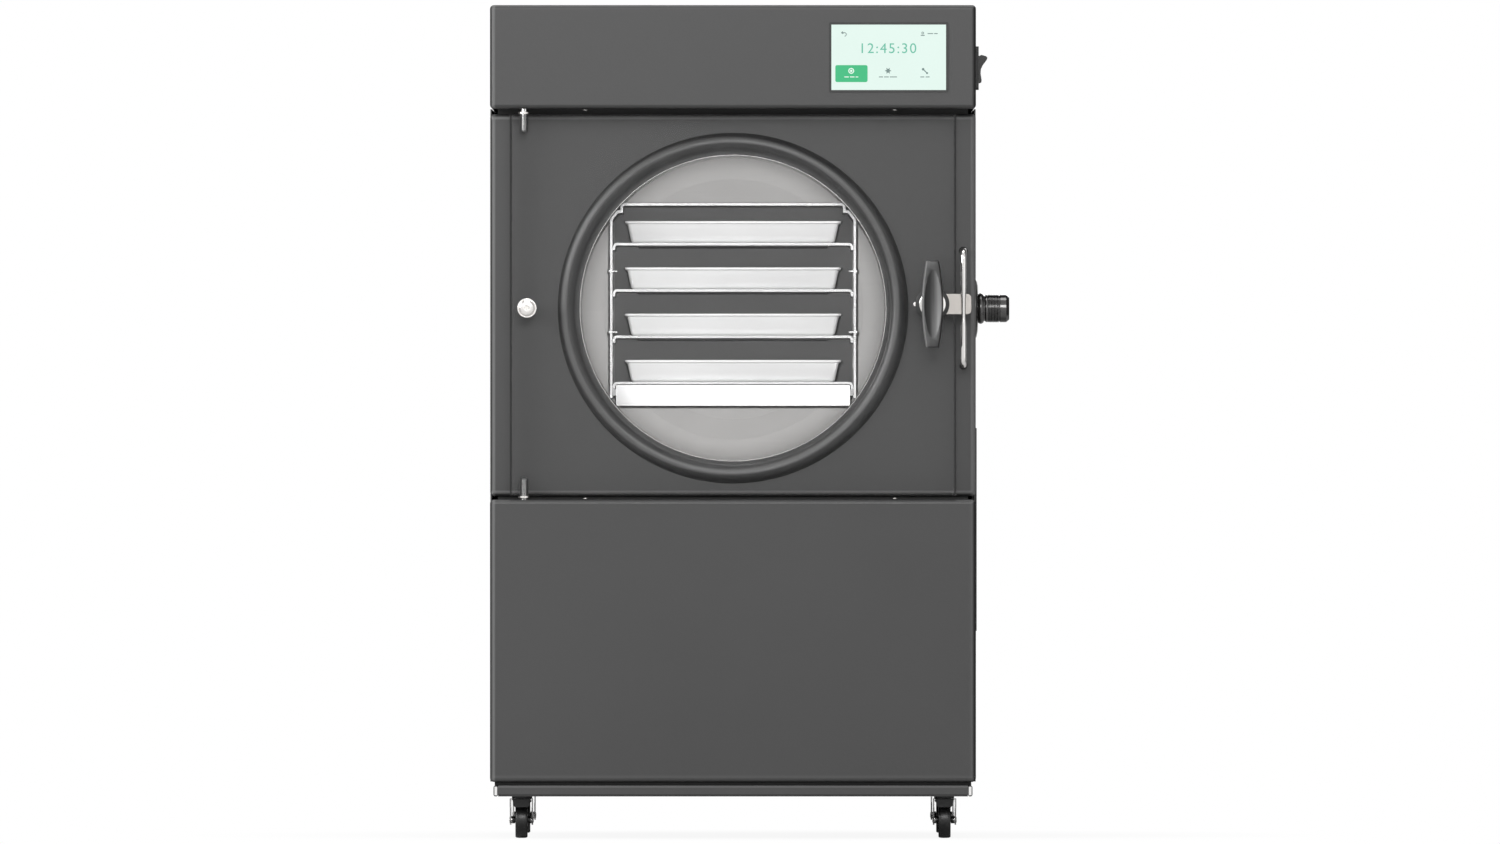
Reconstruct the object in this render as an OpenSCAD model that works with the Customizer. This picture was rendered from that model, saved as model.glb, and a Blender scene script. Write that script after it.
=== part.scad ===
/* [Cabinet] */
// Width of the cabinet
cabinet_w = 480; // [460:2:540]
// Depth of the cabinet, from its front plane to its back
cabinet_d = 560; // [550:5:640]
// Height of the lower box, which holds the cooling unit
lower_h = 279; // [265:1:330]
// Height of the bay that the door fills
bay_h = 386; // [380:1:420]
// Height of the control head
head_h = 102.4; // [95:0.2:130]
// Thickness of the folded sheet
sheet_t = 1.5; // [1:0.1:2]
// Outer radius of the folded edges
fold_r = 4; // [3:0.5:6]
// How far the folded front panels reach back along the sides
front_return = 22; // [18:1:30]
// How far the rear cover wraps round the sides
rear_return = 20; // [15:1:30]

/* [Base and casters] */
// Height of the base skirt's lower edge above the floor
skirt_z = 41.5; // [40:0.5:60]
// Height of the base skirt
skirt_h = 10.8; // [9:0.2:16]
// How far the base stands in from the cabinet's sides
base_inset = 3.4; // [2:0.2:8]
// Dark gap between the base and the cabinet
base_gap = 3.5; // [2:0.5:6]
// Width of the bright rail along each side of the base
rail_w = 4.6; // [3:0.2:8]
// Diameter of a caster wheel
wheel_d = 36; // [28:0.2:36]
// Width of a caster wheel
wheel_w = 12; // [9:0.5:14]
// Distance that a wheel trails behind its swivel axis
wheel_trail = 12; // [10:0.5:14]
// Distance of each caster from the side of the cabinet
caster_inset_x = 30.8; // [28:0.2:50]
// Distance of each caster from the front or back of the cabinet
caster_inset_y = 45; // [42:1:70]

/* [Door] */
// Thickness of the clear door
door_t = 25; // [20:1:30]
// Width of the cabinet strip left bare on each side of the door
strip_w = 19.5; // [16:0.5:24]
// Height of the dark spacer under the bay's front panel
spacer_low = 3.4; // [2:0.2:5]
// Height of the dark spacer above the bay's front panel
spacer_top = 5; // [3:0.2:7]
// How much the door stands in from the ends of the bay's front panel
door_clear = 0.8; // [0.5:0.1:2]
// Distance from the door's edge to the hinge axis
pin_inset = 14; // [11:0.5:16]
// Diameter of a pivot pin
pin_d = 6; // [5:0.5:8]
// Distance from the door's edge to the latch axis
knob_inset = 23.5; // [22:0.5:30]
// Length of the latch knob's wings, tip to tip
knob_len = 86; // [70:1:96]
// Width of the knob at its middle
knob_w = 23; // [20:0.5:28]
// Diameter of the latch bail's rod
bail_d = 6; // [5:0.5:7]
// Height of the latch bail
bail_h = 119; // [100:1:140]

/* [Vacuum chamber] */
// Least distance from the chamber's inner wall to the side of the cabinet
chamber_side = 89; // [86:0.5:93]
// Least distance from the chamber's inner wall to the end of the bay
chamber_end = 42; // [39:0.5:46]
// Wall thickness of the chamber drum
drum_t = 3; // [2:0.5:4]
// Distance from the end of the drum to the back of the cabinet
rear_space = 95.5; // [85:0.5:130]
// Distance of the chamber's axis below the middle of the bay
chamber_drop = 3.8; // [0:0.2:6]
// Radial width of the door gasket
gasket_w = 21.8; // [18:0.2:24]
// Free height of the gasket in front of the panel
gasket_h = 7.7; // [6:0.1:9]
// Thickness of the foam jacket round the evaporator coil
jacket_t = 18.7; // [14:0.1:20]
// Outer diameter of the evaporator tube
coil_d = 6.4; // [5:0.1:7]

/* [Shelves and trays] */
// How much narrower the rack is than the chamber
rack_narrower = 58.7; // [56:0.1:66]
// How far the rack stands behind the drum's front
rack_front = 20; // [16:0.5:30]
// Distance from the rack's rear end to the end of the drum
rack_rear = 10; // [8:0.5:30]
// Thickness of the rack's plates
rack_t = 2.4; // [1.5:0.1:3]
// How much narrower a tray's rim is than the rack
tray_narrower = 29.3; // [24:0.1:44]
// How much shorter a tray's rim is than the rack
tray_shorter = 20; // [12:0.5:60]
// Height of a tray
tray_h = 21.8; // [18:0.2:24]

/* [Control head] */
// Outer width of the display frame
display_w = 118; // [100:1:150]
// Outer height of the display frame
display_h = 69.4; // [60:0.2:80]
// Distance from the display's middle to the side of the cabinet
display_inset = 86.2; // [80:0.2:120]
// Width of the display's black border
display_border = 2.4; // [2:0.2:6]
// Height of the power switch
switch_h = 43; // [36:1:48]
// Depth of the power switch
switch_w = 24; // [20:1:28]

/* [Vacuum port] */
// Diameter of the port's threaded end
port_d = 27.8; // [24:0.2:32]
// How far the port stands out from the cabinet's side
port_len = 33.6; // [30:0.2:40]
// Diameter of the port's flange
port_flange_d = 58.3; // [50:0.2:64]

/* [Hidden] */
$fn = 64;
eps = 0.01;
seat = 0.3;             // gap where a piece only rests near another
run_clear = 0.05;       // radial clearance of a turning shaft
fit_clear = 0.02;       // radial clearance of a fixed screw or pin

// Levels above the floor
floor_z = skirt_z + skirt_h + base_gap;
bay_z = floor_z + lower_h;
head_z = bay_z + bay_h;
top_z = head_z + head_h;
bay_mid = bay_z + bay_h / 2;
chamber_z = bay_mid - chamber_drop;
plate_z = floor_z + sheet_t;
plate_t = 2;
plate_top = plate_z + plate_t;
bay_panel_z = bay_z + spacer_low;
bay_panel_top = head_z - spacer_top;

// Depths behind the front plane
seal_gap = gasket_h + seat;
recess = door_t + seal_gap;
side_y = recess + front_return;
rear_y = cabinet_d - rear_return;
rear_in = cabinet_d - sheet_t;
half_w = cabinet_w / 2;
half_in = half_w - sheet_t;

// Door, hinge and latch
door_w = cabinet_w - 2 * strip_w;
door_z0 = bay_panel_z + door_clear;
door_z1 = bay_panel_top - door_clear;
pin_x = -(door_w / 2 - pin_inset);
pin_y = door_t / 2;
pin_hole = 17;
pin_reach = 15;
bush_r = pin_d / 2 + 1.3;
nut_t = 4;
knob_x = door_w / 2 - knob_inset;
knob_z = bay_mid;
spindle_r = 5;
sleeve_r = 6.5;
washer_r = 17;
washer_t = 0.9;
tongue_t = 4;
tongue_off = washer_t + seat;
tongue_h = 20;
root_r = 13.3;
bail_clear = 0.6;
bail_y = -(tongue_off + tongue_t + bail_clear + bail_d / 2);
bail_x = half_w - strip_w + 7.1;
bail_bend = 8;
tongue_len = bail_x + 7.8 - knob_x;
knob_t = 22;
knob_gap = 2.5;
knob_tip_w = 13;
wing_y = bail_y - bail_d / 2 - knob_gap;
bolt_x = pin_x + 2.9;
bolt_r = 4;
bolt_head_r = 8;
bolt_head_t = 3.6;
stop_x = knob_x - 16.9;

// Chamber: the largest that leaves its room beside it, above it and below it
chamber_d = min(cabinet_w - 2 * chamber_side, bay_h - 2 * chamber_end);
drum_r = chamber_d / 2;
drum_out = drum_r + drum_t;
lip = 4;
flange_t = 4;
flange_r = drum_r + 29;
drum_y = recess + sheet_t;
drum_end = cabinet_d - rear_space;
drum_len = drum_end - drum_y;
back_t = 4;
coil_r = drum_out + coil_d / 2 + seat;
jacket_in = drum_out + coil_d + 2 * seat;
jacket_out = jacket_in + jacket_t;
gasket_in = drum_r + 0.5;
gasket_out = gasket_in + gasket_w;
coil_turns = 10;

// Rack and trays
tray_count = 4;
rack_y = drum_y + rack_front;
rack_len = drum_len - rack_front - rack_rear;
rack_w = chamber_d - rack_narrower;
tray_w = rack_w - tray_narrower;
tray_len = rack_len - tray_shorter;
shelf_pitch = chamber_d * 0.15166;
roof_pitch = chamber_d * 0.13046;
roof_z = chamber_z + chamber_d * 0.34007;
shelf_drop = 7;
shelf_r = 4.5;
rack_half = rack_w / 2;
seat_r = drum_r - seat;
rack_foot_z = chamber_z - sqrt(pow(seat_r, 2) - pow(rack_half, 2));
bend_r = seat_r - 0.7;
flange_z = roof_z + rack_t / 2 - shelf_drop - 0.2;
top_shelf_z = roof_z - roof_pitch;
roof_half = shelf_r + sqrt(pow(seat_r - 0.3 - shelf_r, 2) - pow(roof_z + rack_t / 2 - shelf_r - chamber_z, 2));
shelf_half = rack_half - rack_t - seat;
box_h = 20;
box_gap = 1;
box_top = top_shelf_z - (tray_count - 1) * shelf_pitch - rack_t / 2 - box_gap;
box_half = shelf_half - rack_t - 1;
tray_draft = 4;
tray_lip = 2.5;
tray_t = 1.2;
mat_t = 1.5;
mat_inset = 25;
vent_slot_l = 50;
vent_slot_h = 12;
stud_len = 4.6;

// Control head, vacuum port, cooling unit and other fittings
display_x = half_w - display_inset;
display_z = head_z + 50.8;
lens_lip = 0.8;
switch_z = head_z + 40.6;
switch_y = 60;
switch_px = half_w + 0.5;
switch_tilt = 14;
port_y = drum_y + 85;
port_bore_r = 8;
neck_r = 10;
flange_plate_t = 2.8;
hex_t = 5.5;
port_r = port_d / 2;
vent_t = 1.8;
vent_z = floor_z + 148.2;
vent_h = 201.4;
vent_y = 190;
vent_len = 240;
fan_r = 85;
fan_x = -90;
fan_z = floor_z + 130;
fan_depth = 30;
shroud_half = fan_r + 7;
condenser_t = 36;
fan_y = rear_in - fan_depth;
valve_x = 150;
valve_z = bay_z + 60;
valve_r = 9;
valve_reach = 38;
inlet_x = 120;
inlet_z = floor_z + 60;
comp_r = 66;
comp_h = 135;
comp_x = 90;
comp_y = 330;
stem_r = 4;
king_r = 3;
race_r = 9.5;
fork_t = 1.5;
fork_top = wheel_d + 1.5 + fork_t;
fork_in = wheel_w / 2 + 4;
apron_w = 16.4;
apron_h = 8.5;

// The origin lies on the floor, under the middle of the whole outline
origin_x = port_len / 2;
origin_y = (cabinet_d + valve_reach + wing_y - knob_t) / 2;

paint = "dimgray";
steel = "silver";
bright = "gainsboro";
black = "#202020";
brass = "goldenrod";

// ---------- Shapes used by several pieces ----------

module place() {
    translate([-origin_x, -origin_y, 0]) children();
}

// A rectangle centred on the origin, with round corners
module rounded_rect(w, h, r) {
    square([w - 2 * r, h], center = true);
    square([w, h - 2 * r], center = true);
    for (sx = [-1, 1], sy = [-1, 1])
        translate([sx * (w / 2 - r), sy * (h / 2 - r)]) circle(r);
}

// A rectangle from y = 0 to d, with only its two front corners round
module front_rounded(w, d, r) {
    translate([-w / 2, r]) square([w, d - r]);
    translate([-(w / 2 - r), 0]) square([w - 2 * r, r + eps]);
    for (s = [-1, 1]) translate([s * (w / 2 - r), r]) circle(r);
}

// Extrudes a profile drawn in X and Z along Y, from y0 to y1
module along_y(y0, y1) {
    translate([0, y1, 0]) rotate([90, 0, 0]) linear_extrude(y1 - y0) children();
}

// Extrudes a profile drawn in Y and Z along X, from x0 to x1
module along_x(x0, x1) {
    translate([x0, 0, 0]) rotate([90, 0, 90]) linear_extrude(x1 - x0) children();
}

// A block with its front face on y = 0, centred on x and z, with all its front edges round
module soft_block(w, d, h, r) {
    intersection() {
        along_y(0, d) rounded_rect(w, h, r);
        translate([0, 0, -h / 2]) linear_extrude(h) front_rounded(w, d, r);
        along_x(-w / 2, w / 2) mirror([1, -1]) front_rounded(h, d, r);
    }
}

// A folded pan, open at the back
module pan(w, d, h, r) {
    difference() {
        soft_block(w, d, h, r);
        translate([0, sheet_t, 0])
            soft_block(w - 2 * sheet_t, d, h - 2 * sheet_t, r - sheet_t);
    }
}

module rod_y(r, y0, y1) {
    translate([0, y0, 0]) rotate([-90, 0, 0]) cylinder(r = r, h = y1 - y0);
}

module rod_x(r, x0, x1) {
    translate([x0, 0, 0]) rotate([0, 90, 0]) cylinder(r = r, h = x1 - x0);
}

// Turns a profile of radius and depth about the Y axis; its second coordinate is the depth
module turned_y() {
    rotate([-90, 0, 0]) rotate_extrude($fn = 96) children();
}

module tube_y(ri, ro, y0, y1) {
    difference() {
        rod_y(ro, y0, y1);
        rod_y(ri, y0 - 1, y1 + 1);
    }
}

// A slot along Z with round ends, cut through along X
module slot_x(x0, x1, w, h) {
    along_x(x0, x1) {
        square([w, h - w], center = true);
        for (s = [-1, 1]) translate([0, s * (h - w) / 2]) circle(w / 2);
    }
}

// The left and right sides are mirror images
module left() {
    mirror([1, 0, 0]) children();
}

// ---------- Base ----------

base_w = cabinet_w - 2 * base_inset;
base_y0 = base_inset;
base_d = cabinet_d - 2 * base_inset;
caster_xs = [-1, 1] * (half_w - caster_inset_x);
caster_ys = [caster_inset_y, cabinet_d - caster_inset_y];

module base_tray() {
    w = base_w - 2 * rail_w;
    color(paint) place() {
        difference() {
            translate([-w / 2, base_y0, skirt_z]) cube([w, base_d, skirt_h]);
            translate([-w / 2 - 1, base_y0 + sheet_t, skirt_z + plate_t])
                cube([w + 2, base_d - 2 * sheet_t, skirt_h]);
            for (x = caster_xs, y = caster_ys)
                translate([x, y, skirt_z - 1]) cylinder(r = stem_r + fit_clear, h = plate_t + 2);
        }
        // channels that carry the cabinet's floor
        for (s = [-1, 1]) translate([s * 150 - 15, side_y + 5, skirt_z + plate_t])
            difference() {
                cube([30, cabinet_d - 2 * side_y, plate_z - skirt_z - plate_t]);
                translate([sheet_t, -1, sheet_t])
                    cube([30 - 2 * sheet_t, cabinet_d, plate_z - skirt_z - plate_t - 2 * sheet_t]);
            }
    }
}

// A rounded bright rail along each side of the base
module base_rails() {
    color(bright) place()
        for (s = [-1, 1])
            translate([s * (base_w / 2 - rail_w / 2), base_y0, skirt_z + skirt_h / 2])
                rotate([-90, 0, 0]) linear_extrude(base_d)
                    rounded_rect(rail_w, skirt_h, rail_w / 2 - 0.2);
}

module caster_stems() {
    color(black) place() for (x = caster_xs, y = caster_ys) translate([x, y, 0]) {
        difference() {
            union() {
                translate([0, 0, fork_top + seat]) cylinder(r = race_r, h = skirt_z - fork_top - seat);
                translate([0, 0, skirt_z - eps]) cylinder(r = stem_r, h = 9);
            }
            translate([0, 0, fork_top]) cylinder(r = king_r + run_clear, h = skirt_z - fork_top + 6);
        }
        // nut above the tray
        translate([0, 0, skirt_z + plate_t]) difference() {
            cylinder(r = 7, h = 4, $fn = 6);
            translate([0, 0, -1]) cylinder(r = stem_r + fit_clear, h = 6);
        }
    }
}

// A bent fork: a crown with its kingpin, two legs, an apron at the front and the axle with its bosses
module fork() {
    z_axle = wheel_d / 2;
    y0 = -8;
    foot = 5;
    color(bright) {
        translate([-fork_in - fork_t, y0, fork_top - fork_t])
            cube([2 * (fork_in + fork_t), wheel_trail + 8 - y0, fork_t]);
        translate([0, 0, fork_top - eps]) cylinder(r = king_r, h = skirt_z - fork_top + 5);
        for (s = [-1, 1]) mirror([s < 0 ? 1 : 0, 0, 0])
            along_x(fork_in, fork_in + fork_t) {
                translate([wheel_trail, z_axle]) circle(foot);
                polygon([
                    [wheel_trail - foot, z_axle], [wheel_trail + foot, z_axle],
                    [wheel_trail + 8, fork_top], [y0, fork_top], [y0, fork_top - apron_h]
                ]);
            }
        along_y(y0, y0 + fork_t) polygon([
            [-apron_w / 2, fork_top], [apron_w / 2, fork_top], [apron_w / 2, fork_top - apron_h + 2],
            [apron_w / 2 - 2, fork_top - apron_h], [2 - apron_w / 2, fork_top - apron_h],
            [-apron_w / 2, fork_top - apron_h + 2]
        ]);
        translate([0, wheel_trail, z_axle]) {
            rod_x(2.5, -fork_in - fork_t, fork_in + fork_t);
            for (s = [-1, 1]) mirror([s < 0 ? 1 : 0, 0, 0]) rod_x(3.6, wheel_w / 2 + seat, fork_in + eps);
        }
    }
}

module wheel() {
    e = 1.6;
    r = wheel_d / 2;
    w = wheel_w / 2;
    color(black) translate([0, wheel_trail, wheel_d / 2])
        rotate([0, 90, 0]) rotate_extrude($fn = 96) polygon([
            [2.5 + run_clear, -w], [r * 0.5, -w], [r * 0.55, -w + 1], [r * 0.72, -w + 1],
            [r * 0.78, -w], [r - e, -w], [r - e * 0.3, -w + e * 0.3], [r, -w + e],
            [r, w - e], [r - e * 0.3, w - e * 0.3], [r - e, w], [r * 0.78, w],
            [r * 0.72, w - 1], [r * 0.55, w - 1], [r * 0.5, w], [2.5 + run_clear, w]
        ]);
}

module at_caster(i, j) {
    place() translate([caster_xs[i], caster_ys[j], 0]) children();
}

module fork_front_left() { at_caster(0, 0) fork(); }
module fork_front_right() { at_caster(1, 0) fork(); }
module fork_rear_left() { at_caster(0, 1) fork(); }
module fork_rear_right() { at_caster(1, 1) fork(); }
module wheel_front_left() { at_caster(0, 0) wheel(); }
module wheel_front_right() { at_caster(1, 0) wheel(); }
module wheel_rear_left() { at_caster(0, 1) wheel(); }
module wheel_rear_right() { at_caster(1, 1) wheel(); }

// ---------- Cabinet shell ----------

module floor_plate() {
    color(steel) place()
        translate([fold_r - half_in, sheet_t + fold_r, plate_z])
            cube([2 * (half_in - fold_r), cabinet_d - 2 * (sheet_t + fold_r), plate_t]);
}

module lower_front_panel() {
    color(paint) place() difference() {
        translate([0, 0, floor_z + lower_h / 2]) pan(cabinet_w, side_y, lower_h, fold_r);
        translate([pin_x, pin_y, bay_z - 2 * sheet_t])
            cylinder(r = pin_d / 2 + fit_clear, h = 4 * sheet_t);
    }
}

module chamber_front_panel() {
    h = bay_panel_top - bay_panel_z;
    color(paint) place() difference() {
        translate([0, recess, bay_panel_z + h / 2]) pan(cabinet_w, front_return, h, fold_r);
        translate([0, 0, chamber_z]) rod_y(drum_out + seat, recess - 1, recess + 3);
        for (s = [-1, 1]) translate([bail_x, 0, chamber_z + s * (bail_h / 2 - bail_d / 2)])
            rod_y(bail_d / 2 + fit_clear, recess - 1, recess + 3);
    }
}

module head_cover() {
    color(paint) place() difference() {
        translate([0, 0, head_z + head_h / 2]) pan(cabinet_w, rear_y, head_h, fold_r);
        translate([display_x, 0, display_z])
            along_y(-1, sheet_t + 1) square([display_w - 1.2, display_h - 1.2], center = true);
        translate([0, switch_y, switch_z])
            along_x(half_w - 3, half_w + 1) square([switch_w - 3, switch_h - 3], center = true);
        translate([pin_x, pin_y, head_z - 1]) cylinder(r = pin_d / 2 + fit_clear, h = sheet_t + 2);
    }
}

// The thick plates under and over the bay
module bay_decks() {
    y0 = recess + 8;
    color(black) place() {
        translate([-half_in + 6, y0, bay_z]) cube([2 * half_in - 12, rear_in - y0, spacer_low]);
        translate([-half_in + 6, y0, bay_panel_top]) cube([2 * half_in - 12, rear_y - y0, spacer_top]);
        // saddle under the rear end of the foam jacket
        translate([0, drum_end - 60, 0]) difference() {
            translate([-70, 0, bay_panel_z - eps]) cube([140, 3, chamber_z - jacket_out * 0.9 - bay_panel_z]);
            translate([0, 0, chamber_z]) rod_y(jacket_out + seat, -1, 4);
        }
    }
}

module side_sheet(z0, z1) {
    x = half_w - sheet_t;
    translate([0, 0, z0]) linear_extrude(z1 - z0)
        translate([x, side_y]) square([sheet_t, rear_y - side_y]);
    // joggled edges that lie inside the front pans and the rear cover
    for (r = [[floor_z + fold_r, bay_z - fold_r], [bay_panel_z + fold_r, bay_panel_top - fold_r]])
        translate([x - sheet_t, side_y - 10, r[0]]) cube([sheet_t, 22, r[1] - r[0]]);
    translate([x - sheet_t, rear_y - 12, floor_z + fold_r])
        cube([sheet_t, 22, z1 - floor_z - 2 * fold_r]);
}

module side_panel_right() {
    color(paint) place() difference() {
        side_sheet(floor_z, head_z);
        translate([0, port_y, chamber_z]) rod_x(neck_r + 1, half_w - 4, half_w + 1);
        translate([half_w - 4, vent_y + 18, vent_z + 18]) cube([5, vent_len - 36, vent_h - 36]);
        vent_corners() rod_x(2, -4, 1);
    }
}

module side_panel_left() {
    color(paint) place() left() difference() {
        side_sheet(floor_z, head_z);
        for (i = [0:11], j = [0:1])
            translate([0, vent_y + 20 + i * 18, floor_z + 120 + j * 70])
                slot_x(half_w - 4, half_w + 1, 5, 55);
    }
}

// A louvred cover over the cooling unit's air intake
module side_vent_cover() {
    h = vent_h - 30;
    pitch = 11;
    n = floor(h / pitch);
    color(black) place() difference() {
        translate([half_w, vent_y + vent_len / 2, vent_z + vent_h / 2]) difference() {
            along_x(0, vent_t) rounded_rect(vent_len, vent_h, 5);
            for (i = [0 : n - 1], s = [-1, 1])
                translate([-1, s * (vent_len - 30) / 4, (i - (n - 1) / 2) * pitch])
                    translate([0, -(vent_len - 42) / 4, -2.5]) cube([vent_t + 2, (vent_len - 42) / 2, 5]);
        }
        vent_corners() rod_x(2, -1, vent_t + 1);
    }
}

module vent_corners() {
    for (y = [vent_y + 9, vent_y + vent_len - 9], z = [vent_z + 9, vent_z + vent_h - 9])
        translate([half_w, y, z]) children();
}

// The rear cover, with its fan guard, louvres and cut-outs
module rear_cover() {
    color(paint) place() {
        difference() {
            translate([0, cabinet_d, (floor_z + top_z) / 2]) rotate([0, 0, 180])
                pan(cabinet_w, rear_return, top_z - floor_z, fold_r);
            translate([fan_x, 0, fan_z]) rod_y(fan_r, rear_in - 1, cabinet_d + 1);
            for (i = [0:9], j = [-1, 1])
                translate([j * 75 - 60, rear_in - 1, bay_z + 150 + i * 14]) cube([120, 4, 6]);
            translate([inlet_x - 24, rear_in - 1, inlet_z - 14]) cube([48, 4, 28]);
            translate([valve_x, 0, valve_z]) rod_y(valve_r + 1, rear_in - 1, cabinet_d + 1);
        }
        // concentric rings and spokes of the fan guard
        translate([fan_x, 0, fan_z]) {
            for (r = [14 : 12 : fan_r - 10]) tube_y(r - 1.2, r + 1.2, rear_in, cabinet_d);
            rod_y(6, rear_in, cabinet_d);
            for (a = [0 : 45 : 135]) rotate([0, a, 0])
                translate([-fan_r - 1, rear_in, -1.5]) cube([2 * fan_r + 2, sheet_t, 3]);
        }
    }
}

// Pan-head screws that show in the gaps round the bay, on the vent cover and on the rear cover
module fasteners() {
    color(steel) place() {
        for (x = [-146, 160]) {
            translate([x, recess - 4, bay_z]) cylinder(r = 2.8, h = 2);
            translate([x, recess - 4, head_z - 2]) cylinder(r = 2.8, h = 2);
        }
        vent_corners() {
            rod_x(4, vent_t, vent_t + 2.2);
            rod_x(2 - fit_clear, -3, vent_t + eps);
        }
        for (s = [-1, 1], z = [floor_z + 30, bay_z, chamber_z, head_z - 20, top_z - 20])
            translate([s * (half_w - 18), 0, z]) rod_y(4, cabinet_d, cabinet_d + 2.2);
    }
}

// ---------- Door and latch ----------

module door_panel() {
    h = door_z1 - door_z0;
    color("darkslategray", 0.5) place() difference() {
        translate([-door_w / 2, 0, door_z0]) cube([door_w, door_t, h]);
        // blind holes for the pivot bushes, with the drill's cone
        for (s = [-1, 1]) translate([pin_x, pin_y, s < 0 ? door_z0 : door_z1])
            mirror([0, 0, s < 0 ? 0 : 1]) {
                translate([0, 0, -1]) cylinder(r = bush_r + fit_clear, h = pin_hole + 1);
                translate([0, 0, pin_hole - eps]) cylinder(r1 = bush_r + fit_clear, r2 = 0, h = 2.2);
            }
        translate([knob_x, 0, knob_z]) rod_y(sleeve_r + fit_clear, -1, door_t + 1);
        translate([bolt_x, 0, chamber_z]) rod_y(bolt_r + fit_clear, -1, door_t + 1);
        translate([stop_x, 0, knob_z]) rod_y(2 + fit_clear, -1, 10);
    }
}

// Clear sleeves between the door and its pivot pins; each stands out of the door as a spacer
module pivot_bushes() {
    color("gray", 0.6) place() for (s = [-1, 1])
        translate([pin_x, pin_y, s < 0 ? door_z0 : door_z1]) mirror([0, 0, s < 0 ? 0 : 1])
            difference() {
                translate([0, 0, s < 0 ? -(door_z0 - bay_z - seat) : -2.8])
                    cylinder(r = bush_r, h = pin_hole - 0.1 + (s < 0 ? door_z0 - bay_z - seat : 2.8));
                translate([0, 0, -8]) cylinder(r = pin_d / 2 + run_clear, h = 8 + pin_hole + 1);
            }
}

module pivot_pins() {
    color(steel) place() for (s = [-1, 1]) {
        z = s < 0 ? bay_z - sheet_t : head_z + sheet_t;
        tip = s < 0 ? door_z0 + pin_reach : door_z1 - pin_reach;
        translate([pin_x, pin_y, min(tip, z + s * nut_t)])
            cylinder(r = pin_d / 2, h = abs(tip - z - s * nut_t));
        translate([pin_x, pin_y, s < 0 ? z - nut_t : z]) cylinder(r = 6, h = nut_t, $fn = 6);
    }
}

// The through-bolt beside the hinge, with its button head, washer and low nut
module hinge_side_bolt() {
    color(steel) place() {
        translate([bolt_x, 0, chamber_z]) {
            difference() {
                turned_y() polygon([
                    [0, -bolt_head_t - washer_t], [bolt_head_r * 0.45, -bolt_head_t - washer_t],
                    [bolt_head_r * 0.75, -bolt_head_t * 0.86 - washer_t],
                    [bolt_head_r * 0.93, -bolt_head_t * 0.55 - washer_t],
                    [bolt_head_r, -washer_t - 0.5], [bolt_head_r, -washer_t],
                    [bolt_r, -washer_t], [bolt_r, door_t + 4.5], [0, door_t + 4.5]
                ]);
                rotate([0, 30, 0]) rod6(2.6, -bolt_head_t - washer_t - 1, -washer_t - 1);
            }
            tube_y(bolt_r + 0.1, 9.5, -washer_t, 0);
            difference() {
                rotate([0, 30, 0]) rod6(7, door_t, door_t + 4);
                rod_y(bolt_r + fit_clear, door_t - 1, door_t + 5);
            }
        }
        // the latch's stop pin
        translate([stop_x, 0, knob_z]) rod_y(2, -2.5, 9);
    }
}

module rod6(r, y0, y1) {
    translate([0, y0, 0]) rotate([-90, 0, 0]) cylinder(r = r, h = y1 - y0, $fn = 6);
}

// A flanged sleeve that lines the latch's hole in the door
module latch_sleeve() {
    color(black) place() translate([knob_x, 0, knob_z]) difference() {
        union() {
            rod_y(washer_r, -washer_t, 0);
            rod_y(sleeve_r, -eps, door_t);
        }
        rod_y(spindle_r + run_clear, -washer_t - 1, door_t + 1);
        translate([stop_x - knob_x, 0, 0]) rod_y(2 + seat, -washer_t - 1, 0);
    }
}

// The tongue, welded to its spindle: a round root, and a flat arm that reaches behind the bail
module latch_tongue() {
    c = 4;
    color(steel) place() translate([knob_x, 0, knob_z]) {
        rod_y(root_r, -tongue_off - tongue_t, -tongue_off);
        along_y(-tongue_off - tongue_t, -tongue_off) {
            translate([0, -tongue_h / 2]) square([tongue_len - c, tongue_h]);
            translate([0, -tongue_h / 2 + c]) square([tongue_len, tongue_h - 2 * c]);
            for (s = [-1, 1]) translate([tongue_len - c, s * (tongue_h / 2 - c)]) circle(c);
        }
        rod_y(spindle_r, wing_y - 8, door_t + 5.5);
        // nut behind the door
        rotate([0, 30, 0]) rod6(9, door_t + seat, door_t + seat + 4);
    }
}

// A knob with two tapered wings and a hollowed front
module latch_knob() {
    l = knob_len / 2 - knob_tip_w / 2;
    hollow = 150;
    color(black) place() translate([knob_x, 0, knob_z]) {
        difference() {
            along_y(wing_y - knob_t, wing_y) {
                polygon([
                    [-knob_tip_w / 2, -l], [knob_tip_w / 2, -l], [knob_w / 2, -l * 0.25],
                    [knob_w / 2, l * 0.25], [knob_tip_w / 2, l], [-knob_tip_w / 2, l],
                    [-knob_w / 2, l * 0.25], [-knob_w / 2, -l * 0.25]
                ]);
                for (s = [-1, 1]) translate([0, s * l]) circle(knob_tip_w / 2);
            }
            // the hollow across the front, and the undercut behind each wing
            rod_x_at(wing_y - knob_t - hollow + 5.5, hollow);
            for (s = [-1, 1]) translate([-knob_w, wing_y - 6, s > 0 ? root_r : -root_r - knob_len])
                cube([2 * knob_w, 7, knob_len]);
            rod_y(spindle_r + fit_clear, wing_y - 8.1, wing_y + 1);
        }
        tube_y(spindle_r + fit_clear, root_r - 2.5, wing_y - eps, -tongue_off - tongue_t);
    }
}

module rod_x_at(y, r) {
    translate([0, y, 0]) rotate([0, 90, 0]) cylinder(r = r, h = 4 * knob_w, center = true, $fn = 256);
}

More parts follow.
